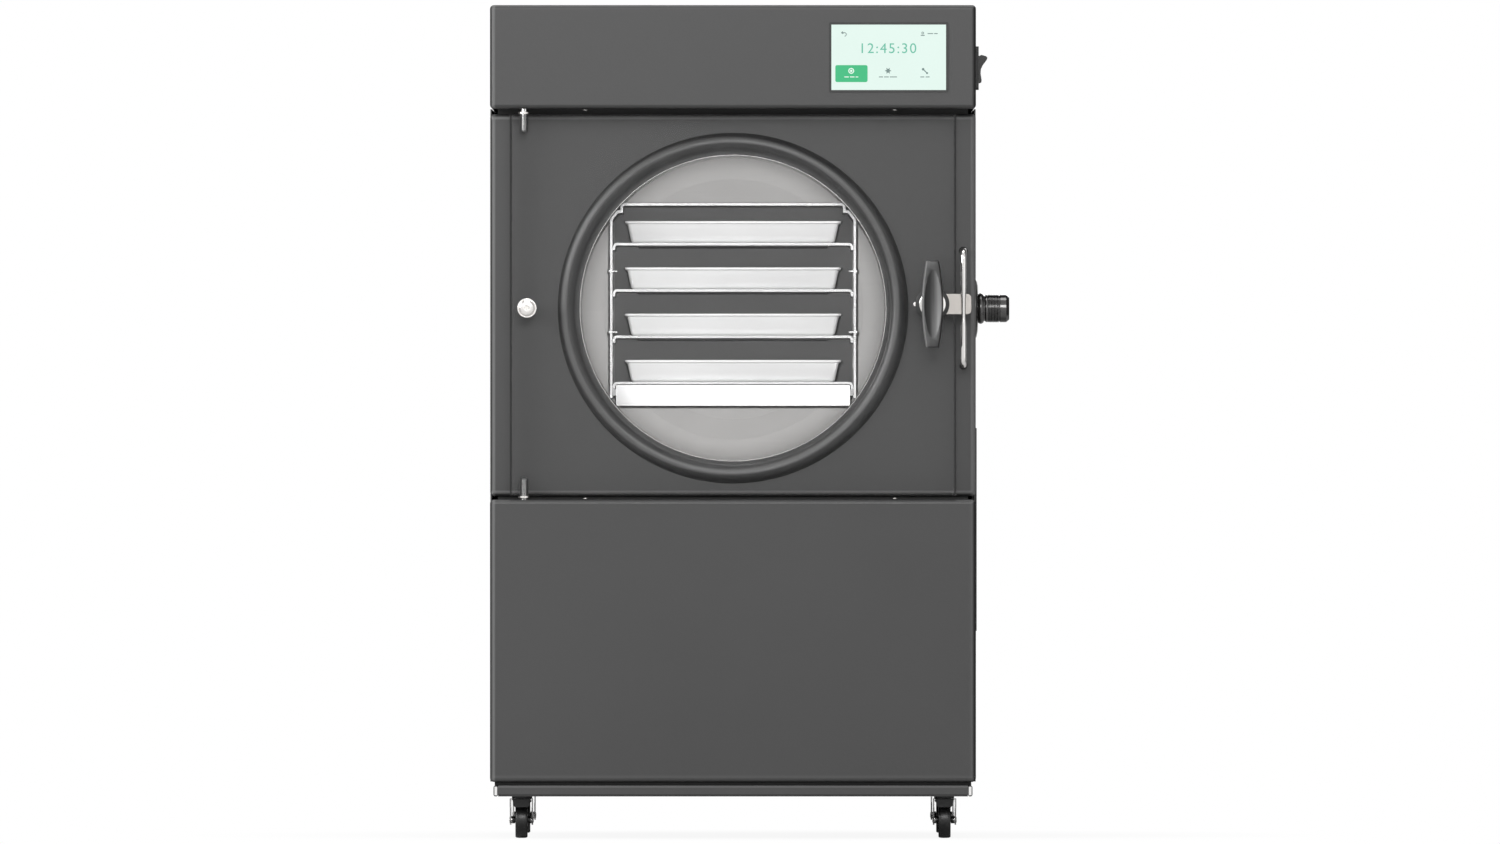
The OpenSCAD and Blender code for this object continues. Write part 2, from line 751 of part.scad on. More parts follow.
// The bent rod that the tongue catches behind
module latch_bail() {
    z = bail_h / 2 - bail_d / 2;
    r = bail_d / 2;
    color(bright) place() translate([bail_x, 0, chamber_z]) {
        translate([0, bail_y, -z + bail_bend]) cylinder(r = r, h = 2 * (z - bail_bend));
        for (s = [-1, 1]) mirror([0, 0, s < 0 ? 1 : 0]) {
            translate([0, bail_y + bail_bend, z - bail_bend])
                rotate([90, 0, -90]) rotate_extrude(angle = 90)
                    translate([bail_bend, 0]) circle(r, $fn = 32);
            translate([0, 0, z]) {
                rod_y(r, bail_y + bail_bend, recess + sheet_t + 6);
                difference() {
                    rod6(5.5, recess + sheet_t, recess + sheet_t + 4.5);
                    rod_y(r - eps, recess, recess + 9);
                }
                difference() {
                    rod_y(5, recess - 1.2, recess);
                    rod_y(r - eps, recess - 2, recess + 1);
                }
            }
        }
    }
}

// A ring with a rounded crest and a sealing edge; its inner back corner laps over the drum's lip
module door_gasket() {
    r0 = gasket_in;
    r1 = gasket_out;
    f = recess - gasket_h;
    m = (r0 + r1) / 2;
    color(black) place() translate([0, 0, chamber_z]) turned_y() polygon([
        [r0, f + 2.2], [r0 + 0.9, f + 0.9], [r0 + 2.5, f + 0.5], [m - 4.5, f + 0.9],
        [m - 3, f], [m - 0.5, f], [m + 1, f + 0.9], [r1 - 2.4, f + 1.6],
        [r1 - 0.6, f + 2.6], [r1, f + 4], [r1, recess],
        [drum_out + seat, recess], [drum_out + seat, recess - lip - seat], [r0, recess - lip - seat]
    ]);
}

// ---------- Vacuum chamber ----------

module chamber_drum() {
    color(steel) place() translate([0, 0, chamber_z]) difference() {
        union() {
            tube_y(drum_r, drum_out, recess - lip, drum_end);
            tube_y(drum_out - eps, flange_r, drum_y, drum_y + flange_t);
        }
        translate([0, port_y, 0]) rod_x(neck_r + fit_clear, drum_r - 20, drum_out + 5);
    }
}

module chamber_back() {
    color(steel) place() translate([0, 0, chamber_z]) turned_y() polygon([
        [0, drum_end + 12], [60, drum_end + 10], [110, drum_end + 5], [130, drum_end], [drum_out, drum_end],
        [drum_out, drum_end + back_t], [131, drum_end + back_t], [111, drum_end + 9],
        [60, drum_end + 14], [0, drum_end + 16]
    ]);
}

module evaporator_coil() {
    pitch = (drum_len - 130) / (coil_turns - 1);
    color("peru") place() translate([0, 0, chamber_z])
        for (i = [0 : coil_turns - 1])
            translate([0, port_y + 22 + i * pitch, 0])
                turned_y() translate([coil_r, 0]) circle(coil_d / 2, $fn = 24);
}

module insulation_jacket() {
    y0 = drum_y + flange_t + 1;
    color("white") place() translate([0, 0, chamber_z]) difference() {
        rod_y(jacket_out, y0, drum_end + 40);
        rod_y(drum_out + 0.1, y0 - 1, port_y + 12);
        rod_y(jacket_in, port_y + 12 - eps, drum_end + 20);
        translate([0, port_y, 0]) rod_x(neck_r + seat, 0, jacket_out + 5);
    }
}

// ---------- Rack ----------

// A plate with rolled edges, drawn in X and Z about its middle
module rolled_edge_plate(half) {
    c = half - shelf_r;
    square([2 * c, rack_t], center = true);
    for (s = [-1, 1]) {
        translate([s * c, rack_t / 2 - shelf_r]) difference() {
            circle(shelf_r);
            circle(shelf_r - rack_t);
            translate([-shelf_r - 1, -2 * shelf_r]) square([2 * shelf_r + 2, 2 * shelf_r]);
            translate([s > 0 ? -2 * shelf_r : 0, -1]) square([2 * shelf_r, 3 * shelf_r]);
        }
        translate([s > 0 ? half - rack_t : -half, rack_t / 2 - shelf_drop])
            square([rack_t, shelf_drop - shelf_r]);
    }
}

module rack_plate(z, half) {
    color(bright) place() translate([0, 0, z])
        along_y(rack_y, rack_y + rack_len) rolled_edge_plate(half);
}

module rack_roof() { rack_plate(roof_z, roof_half); }
module shelf_1() { rack_plate(top_shelf_z, shelf_half); }
module shelf_2() { rack_plate(top_shelf_z - shelf_pitch, shelf_half); }
module shelf_3() { rack_plate(top_shelf_z - 2 * shelf_pitch, shelf_half); }
module shelf_4() { rack_plate(top_shelf_z - 3 * shelf_pitch, shelf_half); }

// The outline of a side plate's fold, which follows the chamber's wall: upright, arc, flange
function fold_arc(x, r, z) = let (low = acos(x / r), high = asin((z - chamber_z) / r))
    [for (i = [0:4]) let (a = low + (high - low) * i / 4) [r * cos(a), chamber_z + r * sin(a)]];

// A side plate, upright beside the shelves and folded inward under the roof's edge
module rack_side() {
    x0 = rack_half - rack_t;
    flange_x = roof_half - rack_t;
    outer = fold_arc(rack_half, bend_r, flange_z);
    inner = fold_arc(x0, bend_r - rack_t, flange_z - rack_t);
    difference() {
        along_y(rack_y, rack_y + rack_len) polygon(concat(
            [[x0, rack_foot_z], [rack_half, rack_foot_z]], outer,
            [[flange_x, flange_z], [flange_x, flange_z - rack_t]], [for (i = [4:-1:0]) inner[i]]
        ));
        // openings that let the vapour reach the cold wall
        for (i = [0:3], j = [0:2])
            translate([x0 - 1, rack_y + 45 + i * (rack_len - 90) / 3 - vent_slot_l / 2,
                       top_shelf_z - j * shelf_pitch - shelf_pitch / 2 - 8])
                cube([rack_t + 2, vent_slot_l, vent_slot_h]);
    }
    // studs that a spare shelf rests on, with their heads outside
    for (z = [top_shelf_z - shelf_pitch / 2 - 4, top_shelf_z - 2 * shelf_pitch + 4.5])
        translate([0, rack_y + 4, z]) {
            rod_x(1.2, x0 - stud_len, x0 + eps);
            rod_x(2, rack_half - eps, rack_half + 1.2);
        }
}

module rack_side_right() { color(bright) place() rack_side(); }
module rack_side_left() { color(bright) place() left() rack_side(); }

// Heating mats under the shelves
module shelf_heaters() {
    color(black) place() for (i = [0 : tray_count - 2])
        translate([-shelf_half + mat_inset, rack_y + 15, top_shelf_z - i * shelf_pitch - rack_t / 2 - mat_t])
            cube([2 * (shelf_half - mat_inset), rack_len - 30, mat_t]);
}

// A plate that closes the rear end of the rack
module rack_baffle() {
    y = rack_y + rack_len;
    color(paint) place() intersection() {
        translate([-shelf_half, y, box_top - box_h]) cube([2 * shelf_half, sheet_t, roof_z + rack_t / 2 - box_top + box_h]);
        translate([0, 0, chamber_z]) rod_y(seat_r - 2, y - 1, y + 5);
    }
}

module rack_base_box() {
    w = 2 * box_half;
    color("whitesmoke") place() difference() {
        translate([-w / 2, rack_y, box_top - box_h]) cube([w, rack_len, box_h]);
        translate([-w / 2 + 2, rack_y + 2, box_top - box_h - 1]) cube([w - 4, rack_len - 4, box_h - 1]);
    }
    color("whitesmoke") place() for (s = [-1, 1])
        translate([s > 0 ? w / 2 - eps : -shelf_half, rack_y + 30, box_top - 10])
            cube([shelf_half - w / 2 + eps, rack_len - 60, 6]);
}

// ---------- Trays ----------

module tray_shape(grow, z0, z1) {
    d = tray_draft;
    hull() {
        translate([0, 0, z0]) linear_extrude(eps)
            rounded_rect(tray_w - 2 * tray_lip - 2 * d + grow, tray_len - 2 * tray_lip - 2 * d + grow, 6);
        translate([0, 0, z1]) linear_extrude(eps)
            rounded_rect(tray_w - 2 * tray_lip + grow, tray_len - 2 * tray_lip + grow, 8);
    }
}

module tray(i) {
    z = top_shelf_z - i * shelf_pitch + rack_t / 2;
    color("whitesmoke") place() translate([0, rack_y + 6 + tray_len / 2, z]) difference() {
        union() {
            tray_shape(0, 0, tray_h - tray_t, $fn = 24);
            translate([0, 0, tray_h - tray_t]) linear_extrude(tray_t) rounded_rect(tray_w, tray_len, 9);
        }
        tray_shape(-2 * tray_t, tray_t, tray_h + 0.5, $fn = 24);
    }
}

module tray_1() { tray(0); }
module tray_2() { tray(1); }
module tray_3() { tray(2); }
module tray_4() { tray(3); }

// ---------- Control head ----------

module display_bezel() {
    w = display_w - 2 * display_border;
    h = display_h - 2 * display_border;
    color(black) place() translate([display_x, 0, display_z]) difference() {
        union() {
            along_y(-lens_lip, 0) rounded_rect(display_w, display_h, 1.5);
            along_y(-eps, 10) square([display_w - 1.6, display_h - 1.6], center = true);
        }
        along_y(-2, 12) square([w, h], center = true);
    }
}

module display_screen() {
    w = display_w - 2 * display_border - 2 * fit_clear;
    h = display_h - 2 * display_border - 2 * fit_clear;
    color("honeydew") place() translate([display_x, 0, display_z])
        along_y(-lens_lip + 0.3, 6) square([w, h], center = true);
}

module switch_housing() {
    color(black) place() translate([0, switch_y, switch_z]) difference() {
        union() {
            along_x(half_w, half_w + 3) rounded_rect(switch_w, switch_h, 2);
            along_x(half_w - 25, half_w + eps)
                square([switch_w - 4, switch_h - 4], center = true);
        }
        along_x(half_w - 20, half_w + 4) square([switch_w - 7, switch_h - 11.8], center = true);
        translate([switch_px, 0, 0]) rod_y(1.5 + run_clear, -switch_w / 2 + 1.5, switch_w / 2 - 1.5);
    }
}

// A rocker with two lobes, tilted about its trunnions
module switch_rocker() {
    h = (switch_h - 11.8) / 2 - 1.6;
    w = switch_w - 8;
    color("black") place() translate([switch_px, switch_y, switch_z]) {
        rotate([0, switch_tilt, 0]) along_y(-w / 2, w / 2) polygon([
            [-5, -h * 0.64], [2, -h], [6.8, -h * 0.99], [8.4, -h * 0.9], [8.2, -h * 0.75], [5.6, -h * 0.3],
            [4.8, 0], [5.6, h * 0.3], [8.2, h * 0.75], [8.4, h * 0.9], [6.8, h * 0.99], [2, h],
            [-5, h * 0.64]
        ]);
        rod_y(1.5, -w / 2 - 1.4, w / 2 + 1.4);
    }
}

// The vacuum fitting: a neck from the chamber, a round flange, a hexagon and a stub for a union nut
module vacuum_port() {
    x1 = half_w + flange_plate_t;
    x2 = x1 + hex_t;
    x3 = half_w + port_len;
    color("slategray") place() translate([0, port_y, chamber_z]) difference() {
        union() {
            rod_x(neck_r, drum_r + 0.4, half_w + eps);
            rod_x(port_flange_d / 2, half_w, x1);
            translate([x1 - eps, 0, 0]) rotate([0, 90, 0]) cylinder(r = port_r + 1.8, h = hex_t, $fn = 6);
            rod_x(port_r, x2 - eps, x3 - 2);
            translate([x3 - 2 - eps, 0, 0]) rotate([0, 90, 0])
                cylinder(r1 = port_r, r2 = port_r - 2, h = 2 + eps);
        }
        rod_x(port_bore_r, drum_r - 2, x3 + 1);
    }
}

// ---------- Cooling unit ----------

module compressor() {
    r = comp_r;
    h = comp_h;
    color(black) place() translate([comp_x, comp_y, plate_top]) {
        translate([0, 0, 12]) rotate_extrude($fn = 96) polygon([
            [0, 0], [0.73 * r, 0], [0.94 * r, 0.07 * h], [r, 0.19 * h], [r, 0.46 * h],
            [1.06 * r, 0.475 * h], [1.06 * r, 0.505 * h], [r, 0.52 * h], [0.985 * r, 0.71 * h],
            [0.85 * r, 0.875 * h], [0.58 * r, 0.965 * h], [0.21 * r, h], [0, h]
        ]);
        translate([-1.06 * r, -0.83 * r, 8]) cube([2.12 * r, 1.66 * r, 4 + eps]);
        for (sx = [-1, 1], sy = [-1, 1])
            translate([sx * 0.88 * r, sy * 0.67 * r, 0]) cylinder(r = 0.14 * r, h = 8 + eps);
    }
}

// Tube-and-fin condenser, standing on two side plates
module condenser() {
    w = 2 * shroud_half;
    z0 = fan_z - shroud_half;
    color(steel) place() translate([fan_x, 0, 0]) {
        for (s = [-1, 1]) translate([s > 0 ? w / 2 - 2 : -w / 2, fan_y - condenser_t - 8, plate_top])
            cube([2, condenser_t + 8, z0 + w - plate_top]);
        translate([-w / 2, fan_y - condenser_t - 4, z0]) difference() {
            cube([w, condenser_t, w]);
            for (i = [1:11]) translate([-1, -1, i * w / 12 - 2]) cube([w + 2, 12, 4]);
        }
    }
}

// A square shroud with a round throat; four struts carry the motor
module fan_frame() {
    w = 2 * shroud_half;
    color(black) place() translate([fan_x, 0, fan_z]) {
        difference() {
            along_y(fan_y, rear_in) rounded_rect(w, w, 8);
            rod_y(fan_r - 1, fan_y - 1, rear_in + 1);
        }
        difference() {
            union() {
                rod_y(26, fan_y, fan_y + 9);
                for (a = [45, 135]) rotate([0, a, 0])
                    translate([-fan_r, fan_y, -4]) cube([2 * fan_r, 5, 8]);
            }
            rod_y(3 + run_clear, fan_y - 1, fan_y + 13);
        }
    }
}

module fan_rotor() {
    color(black) place() translate([fan_x, 0, fan_z]) {
        rod_y(3, fan_y + 1, fan_y + 14);
        rod_y(24, fan_y + 13, fan_y + 26);
        for (a = [0 : 72 : 359]) rotate([0, a, 0])
            translate([20, fan_y + 19, 0]) rotate([32, 0, 0])
                translate([0, -0.8, -16]) cube([fan_r - 24, 1.6, 32]);
    }
}

// ---------- Rear fittings ----------

module power_inlet() {
    color(black) place() translate([inlet_x, 0, inlet_z]) {
        difference() {
            union() {
                along_y(cabinet_d, cabinet_d + 2.5) rounded_rect(60, 34, 4);
                along_y(cabinet_d - 26, cabinet_d + eps) square([46, 26], center = true);
            }
            along_y(cabinet_d - 16, cabinet_d + 4) rounded_rect(29, 20, 3);
        }
        for (x = [-7, 0, 7]) translate([x - 1, cabinet_d - 17, x == 0 ? 0 : -5]) cube([2, 14, 5]);
    }
}

// Ball valve on the chamber's drain
module drain_valve() {
    r = valve_r;
    color(brass) place() translate([valve_x, 0, valve_z]) difference() {
        union() {
            rod_y(r, rear_in - 10, cabinet_d + eps);
            rod6(r + 4, cabinet_d, cabinet_d + 6);
            rod_y(r - 1, cabinet_d, cabinet_d + valve_reach);
            rod_y(r + 3, cabinet_d + 12, cabinet_d + 26);
            translate([0, cabinet_d + 19, 0]) cylinder(r = 5, h = r + 7);
        }
        rod_y(r - 3.5, cabinet_d + 24, cabinet_d + valve_reach + 1);
        translate([0, cabinet_d + 19, r + 2]) cylinder(r = 2 + run_clear, h = 10);
    }
}

module drain_lever() {
    z = valve_r + 7 + seat;
    color("firebrick") place() translate([valve_x, cabinet_d + 19, valve_z]) {
        translate([0, 0, valve_r + 3]) cylinder(r = 2, h = z - valve_r - 3 + eps);
        translate([0, 0, z]) {
            cylinder(r = 7, h = 3);
            translate([-50, -4.5, 0]) cube([50, 9, 3]);
            translate([-50, 0, 0]) cylinder(r = 4.5, h = 3);
        }
    }
}

base_tray();
base_rails();
floor_plate();
side_panel_left();
side_panel_right();
rear_cover();
lower_front_panel();
chamber_front_panel();
head_cover();
bay_decks();
side_vent_cover();
fasteners();
door_panel();
pivot_bushes();
pivot_pins();
hinge_side_bolt();
latch_sleeve();
latch_knob();
latch_tongue();
latch_bail();
door_gasket();
chamber_drum();
chamber_back();
insulation_jacket();
evaporator_coil();
rack_side_left();
rack_side_right();
rack_roof();
rack_baffle();
shelf_1();
shelf_2();
shelf_3();
shelf_4();
shelf_heaters();
rack_base_box();
tray_1();
tray_2();
tray_3();
tray_4();
display_bezel();
display_screen();
switch_housing();
switch_rocker();
vacuum_port();
compressor();
condenser();
fan_frame();
fan_rotor();
power_inlet();
drain_valve();
drain_lever();
caster_stems();
fork_front_left();
fork_front_right();
fork_rear_left();
fork_rear_right();
wheel_front_left();
wheel_front_right();
wheel_rear_left();
wheel_rear_right();
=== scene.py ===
# %% [markdown]
# # A freeze dryer in a white studio
#
# The real machine is a tall cabinet of folded, powder-coated sheet steel. A thick clear door
# closes on a round vacuum chamber with four trays, and a control head sits over it.
# The solids come from the packed model, and this notebook adds finishes, light and the
# shapes that are easier to make as meshes: rolled rims, threads, a hollowed knob.
#
# Everything is in metres and in the frame of the solids, so nothing has to be fitted by eye.

import math

import bmesh
import bpy
from mathutils import Matrix, Vector


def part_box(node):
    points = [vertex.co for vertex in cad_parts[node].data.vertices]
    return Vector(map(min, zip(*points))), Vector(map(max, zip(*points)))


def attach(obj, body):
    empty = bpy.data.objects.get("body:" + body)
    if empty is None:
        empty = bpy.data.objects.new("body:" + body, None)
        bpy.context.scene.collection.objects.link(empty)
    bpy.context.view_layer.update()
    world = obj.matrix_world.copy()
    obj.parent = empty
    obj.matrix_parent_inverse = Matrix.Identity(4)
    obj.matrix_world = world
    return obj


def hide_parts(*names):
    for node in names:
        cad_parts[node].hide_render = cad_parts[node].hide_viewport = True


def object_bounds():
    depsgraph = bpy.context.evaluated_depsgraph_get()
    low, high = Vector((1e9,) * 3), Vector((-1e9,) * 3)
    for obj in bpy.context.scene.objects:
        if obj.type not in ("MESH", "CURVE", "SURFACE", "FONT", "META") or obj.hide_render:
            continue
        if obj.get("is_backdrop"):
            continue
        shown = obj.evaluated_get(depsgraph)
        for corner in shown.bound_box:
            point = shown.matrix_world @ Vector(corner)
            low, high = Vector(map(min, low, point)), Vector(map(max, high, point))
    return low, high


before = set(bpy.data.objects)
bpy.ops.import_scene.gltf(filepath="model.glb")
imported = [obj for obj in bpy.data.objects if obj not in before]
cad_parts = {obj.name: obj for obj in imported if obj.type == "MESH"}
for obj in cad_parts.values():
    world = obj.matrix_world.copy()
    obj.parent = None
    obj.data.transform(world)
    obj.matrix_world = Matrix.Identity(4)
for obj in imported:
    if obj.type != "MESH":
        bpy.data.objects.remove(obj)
solid_low, solid_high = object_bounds()
print("solids from", [round(v, 4) for v in solid_low], "to", [round(v, 4) for v in solid_high])

# %% [markdown]
# ## Units and landmarks
#
# Positions are read from the solids' own boxes. A millimetre is the natural unit for sheet
# metal, so `MM` keeps the numbers below readable.

# %% Landmarks
MM = 0.001
X_AXIS, Y_AXIS, Z_AXIS = (1, 0, 0), (0, 1, 0), (0, 0, 1)


def middle_of(node):
    """The middle of a solid's box."""
    low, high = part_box(node)
    return (low + high) / 2


head_low, head_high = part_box("head_cover")
front_y, side_x = head_low.y, head_high.x
middle_x = middle_of("head_cover").x
ring_low, ring_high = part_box("door_gasket")
chamber_z = middle_of("door_gasket").z
panel_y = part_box("chamber_front_panel")[0].y
print("front plane at", round(front_y, 4), "and chamber axis at height", round(chamber_z, 4))

# %% [markdown]
# ## The camera
#
# A catalogue view of a cabinet is taken square on, from far away with a long lens, so that
# the sides don't show and straight edges stay parallel. The lens follows from the distance
# and from the width that the picture has to hold.

# %% Place the camera
PICTURE_WIDTH = 1.4815
CAMERA_DISTANCE = 38.0
CAMERA_HEIGHT = 0.4114
CLIP_END = 60.0
SENSOR = 36.0
LOOK_BACK = (math.pi / 2, 0, 0)

bpy.ops.object.camera_add(
    location=(0, front_y - CAMERA_DISTANCE, CAMERA_HEIGHT), rotation=LOOK_BACK
)
camera = bpy.context.object
camera.name = "studio_camera"
camera.data.sensor_width = SENSOR
camera.data.lens = SENSOR * CAMERA_DISTANCE / PICTURE_WIDTH
camera.data.clip_end = CLIP_END
bpy.context.scene.camera = camera
bpy.context.scene.view_settings.view_transform = "Standard"
print("lens", round(camera.data.lens, 1), "mm")

# %% [markdown]
# ## Writing finishes as formulas
#
# A finish is a small graph of nodes. Writing `0.4 + 0.1 * grain` is easier to read than
# wiring Math nodes, so a `Signal` stands for one output and Python's operators add the nodes.
# Every other node comes from `Finish.node`, which sets a node up and fills its sockets.
# The solids bring materials with some of the same names, so `finishes` keeps ours apart.

# %% Signals
class Signal:
    """One output of a node; arithmetic on it adds Math nodes."""

    def __init__(self, finish, socket):
        self.finish, self.socket = finish, socket

    def maths(self, operation, *values):
        return self.finish.node("Math", values, operation=operation)

    def __add__(self, other):
        return self.maths("ADD", self, other)

    def __sub__(self, other):
        return self.maths("SUBTRACT", self, other)

    def __rsub__(self, other):
        return self.maths("SUBTRACT", other, self)

    def __mul__(self, other):
        return self.maths("MULTIPLY", self, other)

    def __truediv__(self, other):
        return self.maths("DIVIDE", self, other)

    def __abs__(self):
        return self.maths("ABSOLUTE", self)

    __radd__, __rmul__ = __add__, __mul__

    def clamped(self):
        return self.finish.node("Clamp", [self])

    def length(self):
        return self.finish.node("VectorMath", [self], "Value", operation="LENGTH")

    def parts(self):
        """The X, Y and Z of a vector."""
        return [self.finish.node("SeparateXYZ", [self], axis) for axis in "XYZ"]

    def ramp(self, stops):
        """A curve through stops, each given as (value that comes in, value that goes out)."""
        mapped = self.finish.node("ValToRGB", [self])
        elements = mapped.socket.node.color_ramp.elements
        while len(elements) < len(stops):
            elements.new(0.5)
        for element, (place, shade) in zip(elements, stops):
            element.position, element.color = place, (shade, shade, shade, 1)
        return mapped


print("signals can", [name for name in vars(Signal) if not name.startswith("_")])

# %% Finishes
finishes = {}


class Finish:
    """A material, or another owner of a node tree, that is built up node by node."""

    def __init__(self, name, owner=None):
        self.owner = finishes[name] = owner or bpy.data.materials.new(name)
        self.owner.use_nodes = True
        self.tree = self.owner.node_tree
        self.tree.nodes.clear()

    def node(self, kind, values=(), out=0, **settings):
        """Adds a shader node. Its sockets take signals or plain values."""
        node = self.tree.nodes.new("ShaderNode" + kind)
        for name, value in settings.items():
            setattr(node, name, value)
        pairs = values.items() if isinstance(values, dict) else enumerate(values)
        for key, value in pairs:
            if isinstance(value, Signal):
                self.tree.links.new(value.socket, node.inputs[key])
            else:
                node.inputs[key].default_value = value
        return Signal(self, node.outputs[out])

    def blend(self, mask, first, second):
        """Mixes two colours by a mask."""
        return self.node("Mix", {0: mask, 6: first, 7: second}, 2, data_type="RGBA")

    def place(self, kind="Object"):
        return self.node("TexCoord", out=kind)

    def stretched(self, scale):
        """Object coordinates, scaled along each axis."""
        return self.node("Mapping", {"Vector": self.place(), "Scale": scale})

    def noise(self, scale, detail=3, where=None):
        where = where or self.place()
        return self.node("TexNoise", {"Vector": where, "Scale": scale, "Detail": detail})

    def bump(self, height, depth, **normal):
        return self.node("Bump", {"Height": height, "Distance": depth, **normal}, "Normal")

    def surface(self, shader, kind="OutputMaterial"):
        """Ends the tree with a shader and hands back what owns it."""
        end = self.tree.nodes.new("ShaderNode" + kind)
        self.tree.links.new(shader.socket, end.inputs["Surface"])
        return self.owner

    def principled(self, **values):
        """A Principled surface; coat_weight stands for the socket Coat Weight."""
        sockets = {key.replace("_", " ").title(): value for key, value in values.items()}
        return self.surface(self.node("BsdfPrincipled", sockets, "BSDF"))


def colour(*levels):
    """A linear colour from red, green and blue as they look on screen, from 0 to 255."""
    shares = [max(level, 0) / 255 for level in levels]
    return (*[c / 12.92 if c <= 0.04045 else ((c + 0.055) / 1.055) ** 2.4 for c in shares], 1)


def grey(level, warmth=0.0):
    """A grey as it looks on screen; warmth shifts it from blue to red."""
    return colour(level + warmth, level, level - warmth)


print("a mid grey on screen is", round(grey(128)[0], 3), "as light")

# %% [markdown]
# ## A white studio
#
# The machine stands on a pale floor in a white room. A wall of light behind it would flood its
# sides, so only the camera and the reflections see pure white, and a Light Path node gives the
# surfaces a weaker light. Reflections also see a dark ring beside and behind the machine, like
# a studio's black cards, which outlines chromed rods.

# %% World and floor
ROOM_LIGHT = 0.40
MIRRORED_LIGHT = 0.95
CARD_DARKNESS = 0.80
FLOOR_RADIUS = 1.15
FLOOR_GLOW = 0.92


def ray_is(finish, kind):
    return finish.node("LightPath", out="Is %s Ray" % kind)


room = bpy.data.worlds.new("white_room")
bpy.context.scene.world = room
sky = Finish("white_room", room)
backwards = sky.place("Generated").parts()[1]
cards = (backwards * 0.5 + 0.5).ramp([(0.34, 0), (0.44, 1), (0.93, 1), (0.975, 0)])
strength = (
    ROOM_LIGHT
    + (ray_is(sky, "Camera") + ray_is(sky, "Transmission")) * (1 - ROOM_LIGHT)
    + ray_is(sky, "Glossy") * (MIRRORED_LIGHT - ROOM_LIGHT - cards * CARD_DARKNESS)
)
light = sky.node("Background", {"Color": grey(255), "Strength": strength.clamped()})
sky.surface(light, "OutputWorld")

bpy.ops.mesh.primitive_circle_add(vertices=96, radius=FLOOR_RADIUS, fill_type="NGON")
floor = bpy.context.object
floor.name = "studio_floor"
floor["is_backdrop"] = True

ground = Finish("pale_floor")
mottled = ground.blend(ground.noise(30, 4), grey(226), grey(232))
matt = ground.node("BsdfDiffuse", {"Color": mottled})
white = ground.node("Emission", {"Color": grey(255), "Strength": 1.0})
far = ground.place().length().ramp([(0.30, 0), (0.60, 1)])
fade = ray_is(ground, "Camera") * (FLOOR_GLOW + far * (1 - FLOOR_GLOW))
floor.data.materials.append(ground.surface(ground.node("MixShader", [fade, matt, white])))
print("room light", ROOM_LIGHT, "and a floor", round(floor.dimensions.x, 2), "m across")

# %% [markdown]
# ## Soft lights
#
# Three large soft boxes light the front: a stronger one from the upper left, so that the sheet
# metal darkens gently to the right, a fill from the right, and one overhead. A fourth leaves no
# matt light, and only draws bright bands along polished, round parts. A fifth lights the back.

# %% Lights
def soft_box(name, place, aim, width, height, watts):
    bpy.ops.object.light_add(type="AREA", location=place)
    lamp = bpy.context.object
    lamp.name = name
    lamp.data.shape = "RECTANGLE"
    lamp.data.size, lamp.data.size_y, lamp.data.energy = width, height, watts
    towards = Vector(aim) - Vector(place)
    lamp.rotation_euler = towards.to_track_quat("-Z", "Y").to_euler()
    return lamp


aim = (0, front_y, 0.45)
lights = [
    soft_box("key_left", (-2.1, -1.9, 1.4), aim, 1.5, 1.5, 54),
    soft_box("fill_right", (3.2, -4.6, 0.9), aim, 2.0, 2.4, 7),
    soft_box("overhead", (0, -0.4, 3.4), (0, 0, 0.4), 2.4, 1.2, 40),
    soft_box("band", (0.1, -5.0, 2.1), aim, 1.9, 1.5, 80),
    soft_box("back", (0.6, 4.6, 2.2), (0, 0.3, 0.45), 2.4, 2.0, 60),
]
bpy.data.objects["band"].visible_diffuse = False
print(len(lights), "soft boxes,", sum(lamp.data.energy for lamp in lights), "watts in all")

# %% [markdown]
# The chamber is a deep tube, and soft boxes at the side don't reach its back. A spot far away
# on the chamber's axis does, with a cone that is just as wide as the mouth.

# %% A spot along the chamber's axis
SPOT_DISTANCE = 15.0
SPOT_WATTS = 6900
RING_WIDTH = 22.5 * MM

mouth_r = (ring_high.x - ring_low.x) / 2 - RING_WIDTH
bpy.ops.object.light_add(
    type="SPOT", location=(middle_x, front_y - SPOT_DISTANCE, chamber_z), rotation=LOOK_BACK
)
spot = bpy.context.object
spot.name = "chamber_spot"
spot.data.energy = SPOT_WATTS
spot.data.shadow_soft_size = 0.02
spot.data.spot_size = 2 * math.atan(mouth_r / SPOT_DISTANCE)
spot.data.spot_blend = 0.02
spot.visible_glossy = False
print("spot cone", round(math.degrees(spot.data.spot_size), 2), "degrees")

# %% [markdown]
# ## Powder-coated steel
#
# The cabinet is folded sheet with a satin powder coat: an even dark grey with a faint
# orange-peel ripple. A scanned texture would do, but noise in three sizes gives the same grain
# and never repeats. A broad cloud shifts the tone and the shine a little, as handling does.
# Sharp folds get a painted highlight. Each front panel has thin lines of painted highlight and
# painted shade along its own outline, where its folds turn towards and away from the light:
# they are placed by the distance from its edges.

# %% Powder coat
HIGHLIGHT_RADIUS = 1.6 * MM


def painted_edge_highlight(finish):
    """The painted highlight's mask: 1 on sharp edges, 0 on flats, from how far a rounded normal
    leaves the real one.
    """
    rounded = finish.node("Bevel", {"Radius": HIGHLIGHT_RADIUS}, "Normal", samples=4)
    real = finish.node("NewGeometry", out="True Normal")
    agree = finish.node("VectorMath", [rounded, real], "Value", operation="DOT_PRODUCT")
    return agree.ramp([(0.80, 1), (0.985, 0)])


